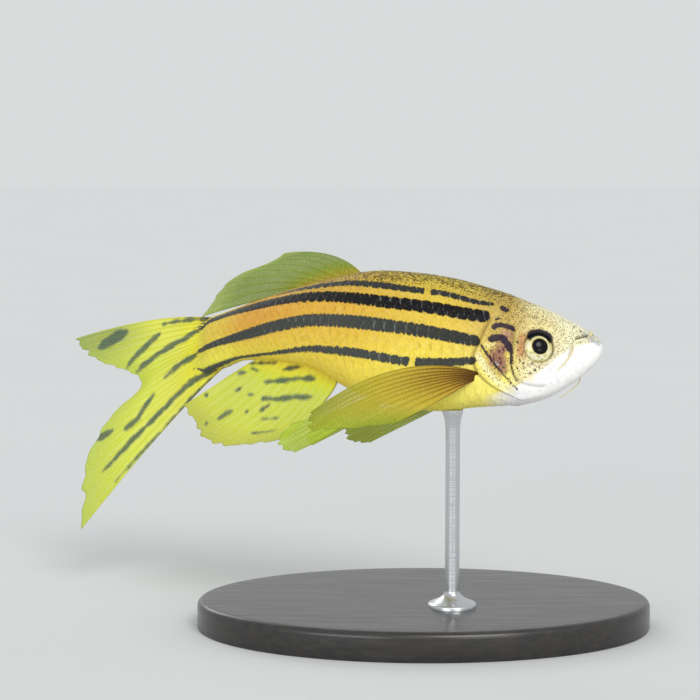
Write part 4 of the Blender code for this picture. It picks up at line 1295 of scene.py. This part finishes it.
def make_fins():
    median = fin_material("median_fin", *MEDIAN_RAYS, thin=0.66, thick=0.90, ray_share=0.70)
    back_fin = fin_material("dorsal_fin", *DORSAL_RAYS, thin=0.66, thick=0.86, ray_share=0.60)
    paired = fin_material("paired_fin", *PAIRED_RAYS, thin=0.62, thick=0.92, ray_share=1.0)
    dorsal = skin_fin("dorsal_fin", DORSAL_BASE, ON_TOP, DORSAL_LIFT, UP, DORSAL_KEYS, rays=9)
    make_fin(dorsal, blend_tint(OLIVE), back_fin, columns_per_ray=14, rows=70, notch=0.012)
    anal = skin_fin("anal_fin", ANAL_BASE, BELOW, ANAL_LIFT, DOWN, ANAL_KEYS, rays=13)
    make_fin(anal, blend_tint(LEMON), median, ANAL_MARKS, columns_per_ray=14, rows=80, notch=0.012)
    lobes = ("caudal_fin_upper", "caudal_fin_lower")
    tail = caudal_fin()
    make_fin(tail, tail_tint, median, CAUDAL_MARKS, lobes, columns_per_ray=13, rows=96, notch=0.012)
    for index, (word, hand, tones) in enumerate((("right", 1, GOLD), ("left", -1, GREEN))):
        turns, socket = np.multiply(PECTORAL_TURNS, hand), np.multiply(PECTORAL_SOCKET, hand)
        pectoral = skin_fin(
            "pectoral_fin_" + word, PECTORAL_BASE, turns, PAIRED_LIFT, DOWN, PECTORAL_KEYS[index],
            (PECTORAL_BASE, socket), rays=11, ripple=0.3, waves=1.2,
        )
        make_fin(pectoral, blend_tint(tones), paired, columns_per_ray=12, rows=70, notch=0.010)
        turns = np.multiply(PELVIC_TURNS, hand)
        pelvic = skin_fin(
            "pelvic_fin_" + word, PELVIC_BASE, turns, PAIRED_LIFT, DOWN, PELVIC_KEYS[index],
            (PELVIC_SOCKET, turns), rays=7, ripple=0.15, waves=1.0,
        )
        make_fin(pelvic, blend_tint(GREEN), paired, columns_per_ray=12, rows=50, width=0.07, notch=0.010)


# Barbels

# Each one's places: share of the axis, degrees from the back and lift off the skin
ROSTRAL_LINE = ((0.036, 71, -0.05), (0.030, 66, 0.34), (0.028, 56, 0.44), (0.031, 48, 0.36))
MAXILLARY_RIGHT = ((0.068, 97, -0.05), (0.074, 108, 0.30), (0.086, 118, 0.42), (0.102, 125, 0.46))
MAXILLARY_LEFT = ((0.060, -97, -0.05), (0.042, -124, 0.62), (0.048, -147, 0.78), (0.086, -164, 0.64))
BARBEL_RADIUS, BARBEL_SIDES, BARBEL_RINGS = 0.11, 14, 40
BARBEL_TAPER, TAPER_POWER = 0.72, 0.8


def make_barbel(name, line, material):
    """A tapering feeler through (share, degrees, lift) places."""
    share, degrees, lift = np.array(line, float).T
    growth = np.linspace(0, 1, BARBEL_RINGS)
    path = smooth(np.linspace(0, 1, len(line)), skin(share, np.radians(degrees), lift), growth)
    ahead = unit(np.gradient(path, axis=0))
    across = unit(np.cross(ahead, SPINE.frame(np.array(0.05))[1]))
    over = np.cross(ahead, across)
    radius = BARBEL_RADIUS * (1 - BARBEL_TAPER * growth**TAPER_POWER)
    angles = np.linspace(0, TURN, BARBEL_SIDES, endpoint=False)[None, :, None]
    ring = np.cos(angles) * across[:, None] + np.sin(angles) * over[:, None]
    ends = np.stack([path[0], path[-1] + ahead[-1] * radius[-1]])
    made = tube_object("danio_" + name, path[:, None] + radius[:, None, None] * ring, ends)
    return finish_piece(made, (name,), material)


def barbel_material():
    n = Nodes("barbel")
    grain = n.noise(5.0)
    return n.set(
        Base_Color=n.lay(srgb(218, 204, 156), srgb(200, 184, 132), grain, 0.4, 0.65),
        Roughness=0.42,
        Subsurface_Weight=0.3,
        Subsurface_Radius=(0.0004, 0.0003, 0.0002),
        Subsurface_Scale=1.0,
    )


# The stand

BASE_LENGTH, BASE_WIDTH, BASE_HEIGHT, BASE_BEVEL = 38.0, 26.0, 2.4, 0.5
BASE_SIDES, BEVEL_STEPS, SHARP = 160, 8, math.radians(40)
# The base's underside edge and its top: inset and height
BASE_FOOT = [(0.2, 0.0), (0.06, 0.05), (0.0, 0.2)]
BASE_TOP = [(1.2, BASE_HEIGHT), (4.0, BASE_HEIGHT)]
ROD_RADIUS, ROD_FOOT_RADIUS, ROD_CUP_RADIUS, ROD_SIDES = 0.6, 2.0, 0.85, 64
# The rod meets the lowest place of the belly at this share of the axis
ROD_SHARE, ROD_SUNK, UNDERSIDE = 0.30, 0.12, np.radians(np.arange(150, 230, 0.5))
# The rod's foot: inset and height of its lip, then the flare up to the rod
FOOT_LIP = ((0.0, 0.0), (0.0, 0.22), (0.05, 0.30), (0.18, 0.36))
FLARE_INSET, FLARE_FROM, FLARE_HEIGHT, FLARE_POWER, FLARE_RINGS = 0.30, 0.40, 0.95, 2.2, 9
# The cup under the belly, from its start below the rod's top, and the inset and depth of its lip
CUP_START, CUP_HEIGHT, CUP_POWER, CUP_RINGS = 1.7, 1.4, 1.8, 7
CUP_LIP = ((0.0, 0.12), (0.08, 0.04), (0.2, 0.0))


def make_turned(name, outline, centre, sides, node, material):
    """A closed body of oval rings, given as half length, half width and height."""
    angles = np.linspace(0, TURN, sides, endpoint=False)
    length, width, height = np.array(outline).T[..., None]
    rings = np.stack([length * np.cos(angles), width * np.sin(angles), 0 * angles + height], -1)
    ends = np.array([(0, 0, outline[k][2]) for k in (0, -1)])
    made = tube_object(name, rings + centre, ends + centre)
    made.data.set_sharp_from_angle(angle=SHARP)
    return finish_piece(made, (node,), material)


def board_material():
    n = Nodes("stand_board")
    stretched = n.stretched(n.place(), (0.12, 1.6, 1.6))
    grain = n.noise(1.4, 6.0, 0.62, stretched)
    pores = n.noise(6.0, 3.0, 0.6, stretched)
    colour = n.lay(srgb(26, 24, 23), srgb(44, 39, 36), grain, 0.35, 0.7)
    colour = n.lay(colour, srgb(14, 13, 12), pores, 0.60, 0.72, 0.6)
    return n.set(
        Base_Color=colour,
        Roughness=n.between(grain, 0.3, 0.7, 0.30, 0.42),
        Coat_Weight=0.35,
        Coat_Roughness=0.15,
        Normal=n.relief(pores, 0.15, 0.00008),
    )


def steel_material():
    n = Nodes("stand_steel")
    rings = n.noise(2.0, 4.0, 0.6, n.stretched(n.place(), (0.02, 0.02, 6.0)))
    return n.set(
        Base_Color=n.lay(srgb(198, 200, 204), srgb(208, 210, 212), rings, 0.3, 0.7),
        Metallic=1.0,
        Roughness=n.between(rings, 0.3, 0.7, 0.22, 0.36),
        Normal=n.relief(rings, 0.05, 0.00002),
    )


def rod_outline(top):
    """The rod's radius and height, from its foot on the base up to the belly."""
    turned = [(ROD_FOOT_RADIUS - inset, BASE_HEIGHT + height) for inset, height in FOOT_LIP]
    shoulder = ROD_FOOT_RADIUS - FLARE_INSET - ROD_RADIUS
    for growth in np.linspace(0, 1, FLARE_RINGS):
        height = BASE_HEIGHT + FLARE_FROM + FLARE_HEIGHT * growth
        turned.append((ROD_RADIUS + shoulder * (1 - growth) ** FLARE_POWER, height))
    for growth in np.linspace(0, 1, CUP_RINGS):
        radius = ROD_RADIUS + (ROD_CUP_RADIUS - ROD_RADIUS) * growth**CUP_POWER
        turned.append((radius, top - CUP_START + CUP_HEIGHT * growth))
    return turned + [(ROD_CUP_RADIUS - inset, top - depth) for inset, depth in CUP_LIP]


def make_stand():
    corner = np.linspace(0, math.pi / 2, BEVEL_STEPS)
    bevel = [(BASE_BEVEL * (1 - math.cos(a)), BASE_HEIGHT - BASE_BEVEL * (1 - math.sin(a))) for a in corner]
    steps = BASE_FOOT + bevel + BASE_TOP
    outline = [(BASE_LENGTH / 2 - inset, BASE_WIDTH / 2 - inset, height) for inset, height in steps]
    board = board_material()
    make_turned("stand_base_board", outline, (0, 0, 0), BASE_SIDES, "stand_base", board)
    under = skin(ROD_SHARE, UNDERSIDE)
    contact = under[under[:, 2].argmin()]
    outline = [(radius, radius, height) for radius, height in rod_outline(contact[2] + ROD_SUNK)]
    centre = (contact[0], contact[1], 0)
    make_turned("stand_rod_turned", outline, centre, ROD_SIDES, "stand_rod", steel_material())


# Camera, floor and light

PIXELS_PER_MM = 12.16
LENS, SENSOR, PICTURE = 100.0, 36.0, 700
VIEW_DOWN = math.radians(5.0)
AIM = ((350 - 425) / PIXELS_PER_MM, -2.0, 23.5)

# The floor is toned so that, lit, it is as pale as the studio behind it
FLOOR_REACH = 12000.0
FLOOR_TONES = srgb(206, 208, 209), srgb(210, 212, 212)
WORLD_TONE, WORLD_STRENGTH = srgb(240, 242, 243), 0.80
LIGHTS = (
    ("key", (266, -683, 618), 26, 1.26, (1.0, 0.985, 0.95)),
    ("fill", (-414, -763, 148), 32, 0.74, (0.97, 0.98, 1.0)),
    ("low", (346, -803, 48), 24, 0.42, (1.0, 0.99, 0.96)),
    ("back", (-414, 757, 538), 24, 0.40, (1.0, 1.0, 0.97)),
)


def make_camera():
    camera = bpy.data.cameras.new("camera")
    camera.lens, camera.sensor_width = LENS, SENSOR
    camera.sensor_fit = "HORIZONTAL"
    camera.clip_start, camera.clip_end = 0.005, 20.0
    made = bpy.data.objects.new("camera", camera)
    distance = PICTURE / PIXELS_PER_MM * LENS / SENSOR
    ahead = Vector((0, math.cos(VIEW_DOWN), -math.sin(VIEW_DOWN)))
    made.location = (Vector(AIM) - ahead * distance) * MM
    made.rotation_euler = ahead.to_track_quat("-Z", "Y").to_euler()
    bpy.context.scene.collection.objects.link(made)
    bpy.context.scene.camera = made


def make_light(name, place, spread, strength, colour):
    """A soft far light: where it shines from, seen from the fish, and its width in degrees."""
    light = bpy.data.lights.new(name, "SUN")
    light.angle, light.energy, light.color = math.radians(spread), strength, colour
    made = bpy.data.objects.new(name, light)
    made.rotation_euler = (-Vector(place)).to_track_quat("-Z", "Y").to_euler()
    bpy.context.scene.collection.objects.link(made)


def make_floor():
    corners = np.array([(-1, -1, 0), (1, -1, 0), (1, 1, 0), (-1, 1, 0)]) * FLOOR_REACH
    floor = mesh_object("floor", corners, [(0, 1, 2, 3)])
    n = Nodes("floor")
    tone = n.noise(0.02, 2.0, 0.5)
    n.set(Base_Color=n.mix(tone, *FLOOR_TONES), Roughness=1.0, Specular_IOR_Level=0.0)
    floor.data.materials.append(n.material)


def make_stage():
    make_floor()
    world = bpy.data.worlds.new("studio")
    world.use_nodes = True
    background = world.node_tree.nodes["Background"]
    background.inputs["Color"].default_value = (*WORLD_TONE, 1.0)
    background.inputs["Strength"].default_value = WORLD_STRENGTH
    bpy.context.scene.world = world
    bpy.context.scene.view_settings.view_transform = "Standard"
    for light in LIGHTS:
        make_light(*light)


def main():
    for thing in list(bpy.data.objects):
        bpy.data.objects.remove(thing)
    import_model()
    make_skin(skin_material())
    eye = eye_material()
    for right in (True, False):
        make_eye(right, eye)
    make_fins()
    feeler = barbel_material()
    for hand, word, line in ((1, "right", MAXILLARY_RIGHT), (-1, "left", MAXILLARY_LEFT)):
        make_barbel("barbel_rostral_" + word, np.array(ROSTRAL_LINE) * (1, hand, 1), feeler)
        make_barbel("barbel_maxillary_" + word, line, feeler)
    make_stand()
    make_stage()
    make_camera()


main()
